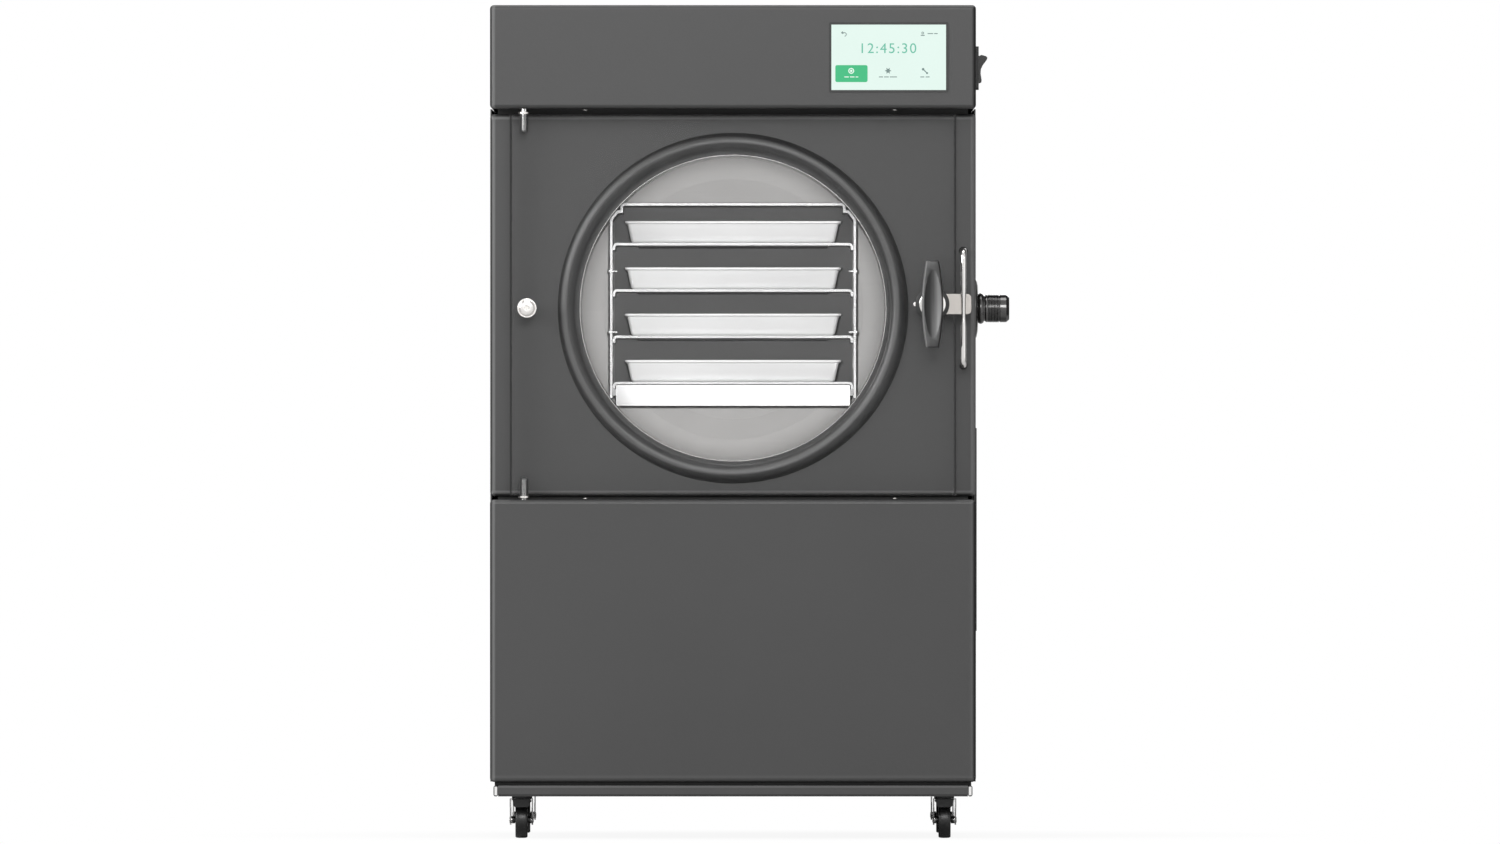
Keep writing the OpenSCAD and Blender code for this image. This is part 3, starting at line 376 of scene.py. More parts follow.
def painted_edge_lines(node, light_x, dark_x, light_z=(), dark_z=()):
    """Thin lines of painted highlight and painted shade that follow the outline of a panel's
    front face.
    """
    low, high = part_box(node)

    def lines(finish):
        x, y, z = finish.place().parts()
        near = ((y - low.y) / (10 * MM)).ramp([(0.22, 1), (0.32, 0)])
        x = (x - low.x) / (high.x - low.x)
        z = (z - low.z) / (high.z - low.z)
        light, dark = x.ramp(light_x), x.ramp(dark_x)
        if light_z:
            light = light + z.ramp(light_z)
        if dark_z:
            dark = dark + z.ramp(dark_z)
        return light.clamped() * near, dark.clamped() * near

    return lines


def powder_coat(name, level, shine=0.40, lines=None):
    finish = Finish(name)
    cloud = finish.noise(6, 4)
    grain = finish.noise(1100, 2)
    peel = finish.noise(300, 3)
    tone = finish.blend(cloud, grey(level * 0.96), grey(level * 1.04))
    specks = grain.ramp([(0.58, 0), (0.70, 1)]) * 0.30
    tone = finish.blend(specks, tone, grey(level * 1.25))
    # Painted highlight: sharp folds are made lighter.
    tone = finish.blend(painted_edge_highlight(finish) * 0.5, tone, grey(level * 1.55))
    # Painted highlight and painted shade: light and dark lines along the panel's outline, where
    # its folds turn towards and away from the light.
    if lines:
        light, dark = lines(finish)
        tone = finish.blend(light, tone, grey(level * 1.9))
        tone = finish.blend(dark, tone, grey(5))
    finish.principled(
        base_color=tone,
        roughness=shine + (cloud - 0.5) * 0.10 + (grain - 0.5) * 0.14,
        normal=finish.bump(peel + grain * 0.4, 0.05 * MM),
    )


# Where the lines of painted highlight and painted shade sit, as shares of a panel's width.
left_light = [(0.0035, 0), (0.0050, 1), (0.0090, 1), (0.0110, 0)]
left_dark = [(0.0028, 1), (0.0042, 0)]
right_dark = [(0.9945, 0), (0.9960, 1)]
no_line = [(0, 0), (1, 0)]
# All panels wear one coat; its level differs a little from panel to panel as painted light and
# shade.
powder_coat("cabinet_paint", 56)
powder_coat(
    "head_paint", 52, lines=painted_edge_lines("head_cover", left_light, left_dark + right_dark)
)
powder_coat("bay_paint", 57, lines=painted_edge_lines(
    "chamber_front_panel", left_light + [(0.9900, 0), (0.9925, 1)], left_dark,
    [(0.0060, 0), (0.0070, 0.9), (0.0115, 0.9), (0.0135, 0)]
    + [(0.9865, 0), (0.9885, 0.9), (0.9930, 0.9), (0.9940, 0)],
))
powder_coat("lower_paint", 53, lines=painted_edge_lines(
    "lower_front_panel", left_light + [(0.9880, 0), (0.9895, 0.4), (0.9920, 0.4), (0.9935, 0)],
    left_dark + right_dark,
    [(0.004, 0), (0.006, 0.16), (0.020, 0.16), (0.026, 0), (0.986, 0), (0.990, 0.14)],
    [(0.002, 1), (0.005, 0)],
))
powder_coat("base_paint", 58, lines=painted_edge_lines(
    "base_tray", no_line, no_line,
    [(0.52, 0), (0.57, 0.4), (0.65, 0.4), (0.68, 0)], [(0.12, 1), (0.17, 0)],
))
powder_coat("deck_paint", 20, 0.6)
powder_coat("white_paint", 240, 0.3)
print("paints:", [name for name in finishes if "paint" in name])

# %% [markdown]
# ## Brushed and polished metals
#
# Rolled sheet shows fine parallel scratches, and plated rod is almost a mirror. Both are metal,
# so colour and roughness do the work. Noise that is squeezed hard along two axes gives
# scratches along the third, and it feeds the roughness and a very shallow bump.

# %% Metals
def brushed_metal(name, level, rough, along, warmth=0.0, metallic=1.0):
    """Metal with scratches along one axis: 0 is X and 1 is Y."""
    finish = Finish(name)
    scale = [900, 900, 900]
    scale[along] = 12
    scratches = finish.noise(1.0, 3, finish.stretched(scale))
    stains = finish.noise(14, 4)
    tone = finish.blend(stains, grey(level * 0.94, warmth), grey(level * 1.02, warmth))
    tone = finish.blend(scratches * 0.5, tone, grey(level * 0.90, warmth))
    finish.principled(
        base_color=tone,
        metallic=metallic,
        roughness=rough + (scratches - 0.5) * 0.16 + (stains - 0.5) * 0.08,
        normal=finish.bump(scratches, 0.01 * MM),
    )


def polished_metal(name, level, rough, warmth=0.0, round_off=0.6, black_where=None):
    """Smooth metal; a Bevel node rounds its edges, so that they catch dark reflections."""
    finish = Finish(name)
    smears = finish.noise(60, 4)
    pits = finish.noise(700, 2)
    tone = finish.blend(smears, grey(level * 0.95, warmth), grey(level, warmth))
    # Black where the mask says: a painted dark reflection, and a fork's black crown.
    black = black_where(finish) if black_where else 0.0
    rounded = finish.node("Bevel", {"Radius": round_off * MM}, "Normal", samples=4)
    finish.principled(
        base_color=finish.blend(black, tone, grey(24)),
        metallic=1 - black,
        roughness=rough + (smears - 0.5) * 0.06 + black * 0.25,
        normal=finish.bump(pits, 0.006 * MM, Normal=rounded),
    )


print("two kinds of metal: brushed and polished")

# %% [markdown]
# Some plated parts have black places: a painted dark reflection along the outline of each fork
# leg and of a rail's end, and down the middle of each pivot pin, and the crown of a fork between
# its legs, which is black. Masks pick these places, from the position and from the way that a
# face looks.

# %% Dark places on plated parts
def faces_front(finish, stops=((0.4, 0), (0.6, 1))):
    """1 where a face looks to the front or to the back."""
    across = finish.node("NewGeometry", out="True Normal").parts()[1]
    return (across * across).ramp(stops)


def black_crown_and_painted_leg_edge(finish):
    """1 on a fork's crown and apron, which are black, and on a painted dark reflection along each
    leg's outer edge; 0 on the rest of its plated legs.
    """
    caster_x = middle_x - middle_of("fork_front_left").x
    x = finish.place().parts()[0]
    from_fork = abs(abs(x - middle_x) - caster_x) / (20 * MM)
    rim = from_fork.ramp([(0.530, 0), (0.545, 1)])
    return from_fork.ramp([(0.45, 1), (0.47, 0)]) + rim * faces_front(finish)


def painted_rail_outline(finish):
    """1 along the outline of the base rails' front ends, where a dark reflection is painted."""
    low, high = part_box("base_rails")
    inner_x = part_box("base_tray")[1].x
    x, y, z = finish.place().parts()
    side = (abs(x - middle_x) + (middle_x - inner_x)) / (high.x - inner_x)
    rise = (z - low.z) / (high.z - low.z)
    rim = side.ramp([(0.16, 1), (0.26, 0), (0.74, 0), (0.84, 1)])
    rim = rim + rise.ramp([(0.09, 1), (0.13, 0), (0.87, 0), (0.91, 1)])
    near = ((y - low.y) / (10 * MM)).ramp([(0.30, 1), (0.45, 0)])
    return rim.clamped() * near


def painted_pin_reflection(finish):
    """1 on the painted dark reflection down the middle of each pivot pin."""
    side = abs(finish.place().parts()[0] - middle_of("pivot_pins").x)
    return (side / MM).ramp([(0.45, 0.85), (0.75, 0)]) * faces_front(finish)


brushed_metal("chamber_steel", 215, 0.26, 1, warmth=1.5)
brushed_metal("chamber_plate", 243, 0.5, 0, warmth=1.5, metallic=0.2)
brushed_metal("baffle_steel", 136, 0.34, 0, metallic=0.5)
brushed_metal("rack_metal", 220, 0.30, 1)
brushed_metal("tray_steel", 234, 0.36, 0, metallic=0.4)
brushed_metal("zinc_sheet", 190, 0.42, 0)
polished_metal("bright_plate", 224, 0.10, 2.0)
polished_metal("satin_steel", 228, 0.24, 3.0)
polished_metal("rail_plate", 244, 0.12, 1.0, black_where=painted_rail_outline)
polished_metal("pin_steel", 240, 0.16, 1.0, black_where=painted_pin_reflection)
polished_metal("zinc_tongue", 160, 0.34, 4.0)
polished_metal("fork_plate", 238, 0.12, 1.0, 1.3, black_where=black_crown_and_painted_leg_edge)
polished_metal("dark_plate", 92, 0.20, 0.5)
polished_metal("copper", 170, 0.3, 60.0)
polished_metal("brass", 170, 0.28, 35.0)
print(len(finishes), "finishes so far")

# %% [markdown]
# ## Rubber, plastic and foam
#
# Moulded parts are even in colour, apart from painted light on two of them. What tells them
# apart is the shine: silicone rubber is dull with a soft sheen and a little dust, a moulded grip
# has a fine spark-eroded texture, and a glossy rocker is nearly smooth. The gasket gets a
# painted highlight ring, and the knob's grip painted light and shade by the way its faces turn.

# %% Moulded finishes
def moulded(name, level, rough, texture, depth, dust=0.0, coat=0.0, tint=grey, painted_light=None):
    finish = Finish(name)
    grain = finish.noise(texture, 3)
    bloom = finish.noise(25, 5)
    tone = finish.blend(bloom, tint(level * 0.92), tint(level * 1.06))
    tone = finish.blend(bloom.ramp([(0.5, 0), (0.75, 1)]) * dust, tone, grey(120))
    if painted_light:
        tone = painted_light(finish, tone)
    finish.principled(
        base_color=tone,
        roughness=rough + (grain - 0.5) * 0.12 + (bloom - 0.5) * 0.10,
        coat_weight=coat,
        coat_roughness=0.15,
        normal=finish.bump(grain, depth * MM),
    )


HIGHLIGHT_SHIFT = Vector((-3.0, 0, 2.4)) * MM
HIGHLIGHT_START, HIGHLIGHT_REACH = 158, 14


def painted_gasket_highlight(finish, tone):
    """A painted highlight: a pale ring round the gasket's bead, set a little up and to the left,
    towards the key light.
    """
    ring = Vector((middle_x, 0, chamber_z)) + HIGHLIGHT_SHIFT
    x, y, z = finish.place().parts()
    radius = finish.node("CombineXYZ", [x - ring.x, 0.0, z - ring.z]).length() / MM
    share = (radius - HIGHLIGHT_START) / HIGHLIGHT_REACH
    band = share.ramp([(0.18, 0), (0.34, 1), (0.56, 1), (0.72, 0)])
    return finish.blend(band * 0.8, tone, grey(98))


def side_shade(finish, tone):
    """Painted light and shade: plastic that is paler where it faces left and darker where it
    faces right.
    """
    turn = finish.node("NewGeometry", out="Normal").parts()[0] * 0.5 + 0.5
    tone = finish.blend(turn.ramp([(0.30, 1), (0.48, 0)]), tone, grey(122))
    return finish.blend(turn.ramp([(0.51, 0), (0.64, 1)]), tone, grey(2))


def pure_red(level):
    return (grey(level)[0], 0.01, 0.012, 1)


moulded("gasket_rubber", 34, 0.40, 500, 0.015, 0.05, painted_light=painted_gasket_highlight)
moulded("heater_rubber", 60, 0.7, 300, 0.05, 0.1)
moulded("tread_rubber", 24, 0.34, 500, 0.04, 0.05)
# Near black, for the block of painted shade in the gap under the cabinet.
moulded("sponge_rubber", 3, 0.9, 300, 0.2)
moulded("black_plastic", 22, 0.45, 800, 0.02)
moulded("grip_plastic", 62, 0.45, 1200, 0.015, painted_light=side_shade)
moulded("gloss_plastic", 14, 0.12, 900, 0.004, 0.0, 0.6)
moulded("foam", 215, 0.9, 220, 0.4)
moulded("red_dip", 185, 0.35, 300, 0.03, tint=pure_red)
print(len(finishes), "finishes with rubber, plastic and foam")

# %% [markdown]
# ## The clear door
#
# The door is 25 mm of clear acrylic. Ray-traced glass would be true, but light can't get through
# it to the trays without slow caustics. A thin film with a low alpha lets light and shadow
# rays pass, and its own gloss still shows. The sawn edges are frosted, so the mask is taken
# from the normal: only the large faces are clear.

# %% Clear and frosted acrylic
DOOR_HALF = 220.5 * MM


def acrylic(name, clear_alpha, edge_alpha, level, painted_edge_shade=0.0):
    finish = Finish(name)
    facing = faces_front(finish, ((0.5, 0), (0.9, 1)))
    side = abs(finish.place().parts()[0] - middle_x) / DOOR_HALF
    # Painted shade: a dark line near each upright edge of the door, as the thick acrylic edge
    # shows dark.
    rim = side.ramp([(0.9885, 0), (0.992, 1)]) * painted_edge_shade
    haze = finish.noise(5, 3)
    saw = finish.noise(1.0, 2, finish.stretched((700, 60, 700)))
    tone = finish.blend(facing, grey(level * 0.75), grey(level))
    cleared = facing * (edge_alpha - clear_alpha - rim * 0.5)
    finish.principled(
        base_color=finish.blend(rim, tone, grey(20)),
        roughness=0.30 - facing * 0.24 + (haze - 0.5) * 0.04,
        alpha=edge_alpha - cleared + (haze - 0.5) * 0.01,
        normal=finish.bump(saw * (1 - facing), 0.05 * MM),
    )


acrylic("door_acrylic", 0.06, 0.55, 110, 1.0)
acrylic("nylon", 0.16, 0.16, 190)
print(len(finishes), "finishes with the clear ones")

# %% [markdown]
# ## A lit display
#
# The display glows: it shows its own light as well as a little of the room's. The glow is a pale
# mint with a faint grid of cells, and dims slightly from place to place.

# %% Display light
def lit(name, bright, dim):
    finish = Finish(name)
    cells = finish.noise(1.0, 1, finish.stretched((4000, 1, 4000)))
    cloud = finish.noise(30, 2)
    finish.principled(
        base_color=(0.02, 0.02, 0.02, 1),
        roughness=0.2 + cells * 0.05,
        emission_color=finish.blend(cloud * 0.5 + cells * 0.3, colour(*bright), colour(*dim)),
        emission_strength=1.0,
    )


lit("screen_glow", (224, 243, 235), (214, 234, 225))
lit("button_glow", (8, 184, 118), (4, 176, 110))
lit("ink_grey", (96, 122, 118), (120, 140, 136))
lit("ink_green", (92, 186, 158), (80, 178, 150))
lit("ink_white", (235, 250, 240), (215, 240, 228))
print(len(finishes), "finishes with those of the display")

# %% [markdown]
# ## Dressing the solids
#
# Most solids already have the right shape, so each only needs its finish. One table says
# which finish each solid wears.

# %% Finishes for the solids
QUARTERS = ("front_left", "front_right", "rear_left", "rear_right")
LEVELS = "1234"


def each(stem, endings):
    """The names of parts that come several times, as one line of words."""
    return " ".join(stem + "_" + ending for ending in endings)


wardrobe = {
    "cabinet_paint": "side_panel_left side_panel_right rear_cover",
    "head_paint": "head_cover",
    "lower_paint": "lower_front_panel",
    "base_paint": "base_tray",
    "bay_paint": "chamber_front_panel",
    "deck_paint": "bay_decks side_vent_cover compressor caster_stems",
    "white_paint": "rack_base_box",
    "zinc_sheet": "floor_plate condenser",
    "satin_steel": "hinge_side_bolt fasteners",
    "pin_steel": "pivot_pins",
    "zinc_tongue": "latch_tongue",
    "bright_plate": "latch_bail",
    "rail_plate": "base_rails",
    "dark_plate": "vacuum_port",
    "fork_plate": each("fork", QUARTERS),
    "chamber_steel": "chamber_drum",
    "chamber_plate": "chamber_back",
    "baffle_steel": "rack_baffle",
    "rack_metal": "rack_side_left rack_side_right rack_roof " + each("shelf", LEVELS),
    "tray_steel": each("tray", LEVELS),
    "copper": "evaporator_coil",
    "brass": "drain_valve",
    "door_acrylic": "door_panel",
    "nylon": "pivot_bushes",
    "gasket_rubber": "door_gasket",
    "heater_rubber": "shelf_heaters",
    "tread_rubber": each("wheel", QUARTERS),
    "black_plastic":
        "latch_sleeve display_bezel switch_housing fan_frame fan_rotor power_inlet",
    "grip_plastic": "latch_knob",
    "gloss_plastic": "switch_rocker",
    "red_dip": "drain_lever",
    "foam": "insulation_jacket",
    "screen_glow": "display_screen",
}
for finish, names in wardrobe.items():
    for name in names.split():
        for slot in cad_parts[name].material_slots:
            slot.material = finishes[finish]
print("dressed", len(" ".join(wardrobe.values()).split()), "solids of", len(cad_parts))

# %% [markdown]
# ## Tools for shaping
#
# The new pieces are made as by hand: a primitive is set at its place, and its faces or edges
# are picked and extruded, scaled or bevelled. Here a rule on the position does the picking.

# %% Picking
def clear_selection():
    if bpy.context.mode != "OBJECT":
        bpy.ops.object.mode_set(mode="OBJECT")
    bpy.ops.object.select_all(action="DESELECT")


def activate(piece):
    clear_selection()
    piece.select_set(True)
    bpy.context.view_layer.objects.active = piece


def start_piece(name, add, **settings):
    """Adds a primitive, names it and opens it in edit mode with nothing picked."""
    clear_selection()
    add(**settings)
    piece = bpy.context.object
    piece.name = name
    bpy.ops.object.transform_apply(location=True, rotation=True, scale=True)
    bpy.ops.object.mode_set(mode="EDIT")
    bpy.ops.mesh.select_all(action="DESELECT")
    return piece


def start_block(name, low, high):
    """A block between two corners, open in edit mode."""
    size = [b - a for a, b in zip(low, high)]
    middle = [(a + b) / 2 for a, b in zip(low, high)]
    add = bpy.ops.mesh.primitive_cube_add
    return start_piece(name, add, size=1, location=middle, scale=size)


def start_ring(name, radius, place, turn, steps):
    """A circle whose corners are all picked, ready to be extruded."""
    add = bpy.ops.mesh.primitive_circle_add
    piece = start_piece(name, add, vertices=steps, radius=radius, location=place, rotation=turn)
    bpy.ops.mesh.select_mode(type="VERT")
    bpy.ops.mesh.select_all(action="SELECT")
    return piece


def pick(piece, rule, kind="FACE"):
    """Selects faces or corners by place and normal, or edges by middle and direction."""
    bpy.ops.mesh.select_all(action="DESELECT")
    bpy.ops.mesh.select_mode(type=kind)
    mesh = bmesh.from_edit_mesh(piece.data)
    for item in {"FACE": mesh.faces, "EDGE": mesh.edges, "VERT": mesh.verts}[kind]:
        if kind == "FACE":
            fits = rule(item.calc_center_median(), item.normal)
        elif kind == "EDGE":
            a, b = item.verts
            fits = rule((a.co + b.co) / 2, (b.co - a.co).normalized())
        else:
            fits = rule(item.co, item.normal)
        if fits:
            item.select_set(True)
    mesh.select_flush_mode()
    bmesh.update_edit_mesh(piece.data)


print("helpers pick faces, edges and corners by a rule")

# %% Finishing
def close_up(threshold, caps=False):
    """Joins the corners that meet, puts caps on open ends and turns all faces outward."""
    bpy.ops.mesh.select_all(action="SELECT")
    bpy.ops.mesh.remove_doubles(threshold=threshold)
    if caps:
        bpy.ops.mesh.fill_holes(sides=0)
        bpy.ops.mesh.select_all(action="SELECT")
    bpy.ops.mesh.normals_make_consistent(inside=False)
    bpy.ops.object.mode_set(mode="OBJECT")


def use_modifier(piece, kind, **settings):
    """Adds a modifier and applies it at once."""
    activate(piece)
    modifier = piece.modifiers.new(kind.title(), kind)
    for key, value in settings.items():
        setattr(modifier, key, value)
    bpy.ops.object.modifier_apply(modifier=modifier.name)


def ease_edges(piece, width, segments, angle):
    """Rounds the edges that are sharper than an angle, by a width in millimetres."""
    use_modifier(
        piece, "BEVEL", width=width * MM, segments=segments, limit_method="ANGLE",
        angle_limit=angle,
    )


def take_away(piece, cutter):
    use_modifier(piece, "BOOLEAN", operation="DIFFERENCE", object=cutter, solver="EXACT")
    bpy.data.objects.remove(cutter)


def finish_piece(piece, finish, body, replaces=(), smooth=35):
    """Smooths a piece, gives it its finish and hangs it on its body."""
    activate(piece)
    bpy.ops.object.shade_smooth_by_angle(angle=math.radians(smooth))
    piece.data.materials.clear()
    piece.data.materials.append(finishes[finish])
    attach(piece, body)
    if replaces:
        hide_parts(*replaces)


def copy_piece(piece, name, move):
    """A copy with its own mesh, moved in its mesh and not as an object."""
    twin = piece.copy()
    twin.data = piece.data.copy()
    twin.name = name
    bpy.context.collection.objects.link(twin)
    twin.data.transform(move)
    return twin


print("helpers finish a piece and hang it on its body")

# %% [markdown]
# Many parts of such a machine are turned on a lathe or look like it. The Screw modifier could
# spin a profile. Here a circle is extruded along the axis and scaled from station to station,
# which leaves a mesh to work on. Profiles are written in millimetres, as on a drawing.

# %% A lathe
SMALLEST = 0.01


def turned(name, start, axis, profile, steps=96):
    """A round piece from stations of (distance from the start along the axis, radius).

    A closed profile ends where it began.
    """
    start, axis = Vector(start), Vector(axis)
    stations = [(along * MM, max(radius, SMALLEST) * MM) for along, radius in profile]
    along, radius = stations[0]
    turn = Vector(Z_AXIS).rotation_difference(axis).to_euler()
    piece = start_ring(name, radius, start + axis * along, turn, steps)
    for next_along, next_radius in stations[1:]:
        shift = axis * (next_along - along)
        bpy.ops.mesh.extrude_region_move(TRANSFORM_OT_translate={"value": shift})
        ratio = next_radius / radius
        bpy.ops.transform.resize(
            value=[1 if abs(a) > 0.5 else ratio for a in axis],
            center_override=start + axis * next_along,
        )
        along, radius = next_along, next_radius
    close_up(2e-5)
    print(name, "turned from", len(stations), "stations,", len(piece.data.polygons), "faces")
    return piece


def in_mm(length):
    return length / MM


print("the lathe's smallest radius is", SMALLEST, "mm")

# %% [markdown]
# ## The door gasket
#
# A thick ring of black silicone rubber is pushed over the chamber's mouth. Its face is a round
# bead, whose crest meets the door all round and draws one line of light. It could be a
# bevelled curve, but a turned section that closes on itself gives exact control.

# %% Turn the gasket
RING_SECTION = 21.8
BEAD_CREST, BEAD_R = 12.4, 9.0

ring_in = in_mm(ring_high.x - ring_low.x) / 2 - RING_SECTION
ring_back = in_mm(panel_y - ring_low.y)
lip = in_mm(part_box("chamber_drum")[0].y - ring_low.y) - 0.4

section = [(5.2, 0.0), (4.6, 0.4), (4.3, 1.2), (4.1, 2.8), (3.9, 4.2)]
for degrees in range(-52, 57, 6):
    slope = math.radians(degrees)
    section.append((BEAD_R * (1 - math.cos(slope)), BEAD_CREST + BEAD_R * math.sin(slope)))
section += [(5.0, 20.6), (6.0, 21.4), (7.0, RING_SECTION), (ring_back, RING_SECTION)]
section += [(ring_back, 2.9), (lip, 2.9), (lip, 0), section[0]]
profile = [(y, ring_in + r) for y, r in section]
gasket = turned("gasket_ring", (middle_x, ring_low.y, chamber_z), Y_AXIS, profile, 160)
# The gasket's finish paints a highlight ring along the bead.
finish_piece(gasket, "gasket_rubber", "cabinet", ["door_gasket"], 60)

# %% [markdown]
# ## The vacuum port
#
# The port is turned from bar: a thin flange against the cabinet, a wrench collar, an undercut,
# a thread and a smooth end with a chamfer. A true thread is a helix, but at this pitch rings
# look the same. The collar is barrel-shaped, so that a lamp draws a short bright spot on it.

# %% Turn the port
PORT_R = 13.9
BORE_R = 8
NECK = 7.9
THREAD_START, PITCH, TURNS = 12.9, 1.5, 7
COLLAR_FROM, COLLAR_TO, COLLAR_R = 2.7, 8.1, PORT_R + 1.5

port_low, port_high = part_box("vacuum_port")
end = in_mm(port_high.x - side_x)
flange_r = in_mm(port_high.z - port_low.z) / 2

flange = [
    (0, BORE_R), (0, flange_r), (0.6, flange_r), (1.3, flange_r - 0.8), (2.6, flange_r - 7),
    (2.8, flange_r - 13), (2.8, BORE_R),
]
nose = [
    (NECK, BORE_R), (NECK, PORT_R - 0.6), (9.5, PORT_R - 1.4), (10.5, PORT_R - 0.2),
    (12.3, PORT_R - 0.2),
]
for i in range(TURNS):
    x = THREAD_START + i * PITCH
    nose += [(x, PORT_R - 0.7), (x + 0.3, PORT_R), (x + 1.05, PORT_R), (x + 1.35, PORT_R - 0.7)]
x = THREAD_START + TURNS * PITCH
nose += [
    (x, PORT_R - 0.8), (x + 0.8, PORT_R - 0.8), (x + 1.2, PORT_R - 0.1),
    (end - 3.0, PORT_R - 0.1), (end - 0.3, PORT_R - 2.4), (end, PORT_R - 2.8),
    (end, BORE_R + 0.3), (end - 0.3, BORE_R), (NECK, BORE_R),
]
collar = [(COLLAR_FROM, BORE_R)]
for i in range(9):
    share = -1 + i / 4
    x = (COLLAR_FROM + COLLAR_TO + share * (COLLAR_TO - COLLAR_FROM)) / 2
    collar.append((x, COLLAR_R - 1.3 * share * share))
collar += [(COLLAR_TO, BORE_R), (COLLAR_FROM, BORE_R)]

port_start = (side_x, middle_of("vacuum_port").y, chamber_z)
for name, profile, smooth in (
    ("port_flange", flange, 35), ("port_nose", nose, 40), ("port_collar", collar, 30),
):
    piece = turned(name, port_start, X_AXIS, profile)
    finish_piece(piece, "dark_plate", "cabinet", ["vacuum_port"], smooth)
print("port reaches", round(end, 1), "mm from the side")

# %% [markdown]
# ## The latch's bail
#
# The tongue closes behind a bail: a plated rod whose ends bend back into the cabinet, with a
# narrower waist where the tongue passes. A curve with a bevel would give the bends, but not the
# waist, so a circle is extruded forward, spun upward, extruded and scaled along the rod,
# and spun back again.

# %% Sweep the bail
ROD_R, BEND_R = 3.0 * MM, 8.0 * MM
END_Z = 56.5 * MM
END_RATIO = 0.86

bail_x = middle_of("latch_bail").x
bend_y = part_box("latch_bail")[0].y + ROD_R + BEND_R
root_y = panel_y + 2 * MM
bail = start_ring(
    "bail_rod", ROD_R * END_RATIO, (bail_x, root_y, chamber_z - END_Z), LOOK_BACK, 32
)


def push_ring(shift, ratio=1.0, flat=1):
    """Extrudes the open end by a shift and scales it across the rod."""
    bpy.ops.mesh.extrude_region_move(TRANSFORM_OT_translate={"value": shift})
    mesh = bmesh.from_edit_mesh(bail.data)
    ring = [v.co for v in mesh.verts if v.select]
    value = [ratio, ratio, ratio]
    value[flat] = 1
    bpy.ops.transform.resize(value=value, center_override=sum(ring, Vector()) / len(ring))


def bend_ring(centre_z):
    """Spins the open end through a quarter turn."""
    centre = (bail_x, bend_y, centre_z)
    bpy.ops.mesh.spin(steps=10, angle=math.pi / 2, center=centre, axis=X_AXIS)


straight = END_Z - BEND_R
waist = [(-straight, 1.0), (-20 * MM, 1.0), (-14 * MM, 0.9), (-9 * MM, 0.72), (-4 * MM, 0.68)]
waist += [(-z, r) for z, r in reversed(waist)]
push_ring((0, bend_y - root_y, 0), 1 / END_RATIO)
bend_ring(chamber_z - straight)
for (z, r), (next_z, next_r) in zip(waist, waist[1:]):
    push_ring((0, 0, next_z - z), next_r / r, 2)
bend_ring(chamber_z + straight)
push_ring((0, root_y - bend_y, 0), END_RATIO)
close_up(1e-5, caps=True)
finish_piece(bail, "bright_plate", "cabinet", ["latch_bail"], 50)

for way, name in ((-1, "bail_grommet_low"), (1, "bail_grommet_high")):
    grommet = turned(
        name, (bail_x, panel_y, chamber_z + way * END_Z), Y_AXIS,
        [(0, 2.4), (-2.2, 2.6), (-2.6, 3.2), (-1.6, 4.0), (0, 4.2), (0, 2.4)], 32,
    )
    finish_piece(grommet, "black_plastic", "cabinet", ["latch_bail"])
print("bail of", round(2 * in_mm(END_Z), 1), "mm between its ends")

# %% [markdown]
# ## The latch knob
#
# The knob is one moulding: two wings that taper towards square ends, with a boat-shaped thumb
# hollow along the front, on a plated hub. The outline is a block that is cut into levels, and
# each level is scaled to its own width. The hollow is shallow with pointed ends, so a wide
# lemon shape that stands mostly in front of the knob is taken away from it.

# %% Wings
KNOB_WIDE, KNOB_TIP = 21.4 * MM, 12.6 * MM
HUB = 9.1 * MM

knob_low, knob_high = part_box("latch_knob")
knob_x, _, knob_z = middle_of("latch_knob")
knob_len = knob_high.z - knob_low.z
wing_back = knob_high.y - HUB
grip = start_block(
    "knob_grip", (knob_x - KNOB_WIDE / 2, knob_low.y, knob_low.z),
    (knob_x + KNOB_WIDE / 2, wing_back, knob_high.z),
)
pick(grip, lambda at, way: abs(way.z) > 0.9, "EDGE")
bpy.ops.mesh.subdivide(number_cuts=15)
levels = sorted({round(v.co.z, 5) for v in bmesh.from_edit_mesh(grip.data).verts})
for level in levels:
    share = abs(level - knob_z) / (knob_len / 2)
    width = KNOB_TIP + (KNOB_WIDE - KNOB_TIP) * (1 - share ** 1.9)
    pick(grip, lambda at, normal: abs(at.z - level) < 0.02 * MM, "VERT")
    bpy.ops.transform.resize(
        value=(width / KNOB_WIDE, 1, 1), center_override=(knob_x, wing_back, level)
    )
pick(grip, lambda at, normal: normal.y < -0.9)
bpy.ops.transform.resize(value=(0.93, 1, 0.985), center_override=(knob_x, knob_low.y, knob_z))
ease_edges(grip, 1.1, 3, 0.9)
print("wings in", len(levels), "levels")

# %% Thumb hollow
HOLLOW_HALF = 35.5
CUTTER_OUT = 9.4
HOLLOW_DEPTH = 3.3

lemon = [(-HOLLOW_HALF - 1, SMALLEST), (-HOLLOW_HALF, CUTTER_OUT - 0.3)]
for i in range(1, 24):
    share = -1 + i / 12
    radius = CUTTER_OUT + HOLLOW_DEPTH * (1 - share * share) ** 1.25
    lemon.append((share * HOLLOW_HALF, radius))
lemon += [(HOLLOW_HALF, CUTTER_OUT - 0.3), (HOLLOW_HALF + 1, SMALLEST)]
cutter_place = (knob_x + 0.4 * MM, knob_low.y - CUTTER_OUT * MM, knob_z)
take_away(grip, turned("hollow_cutter", cutter_place, Z_AXIS, lemon))
ease_edges(grip, 0.25, 2, 0.6)
finish_piece(grip, "grip_plastic", "latch", ["latch_knob"], 30)
print("knob of", round(in_mm(knob_len), 1), "mm with", len(grip.data.polygons), "faces")

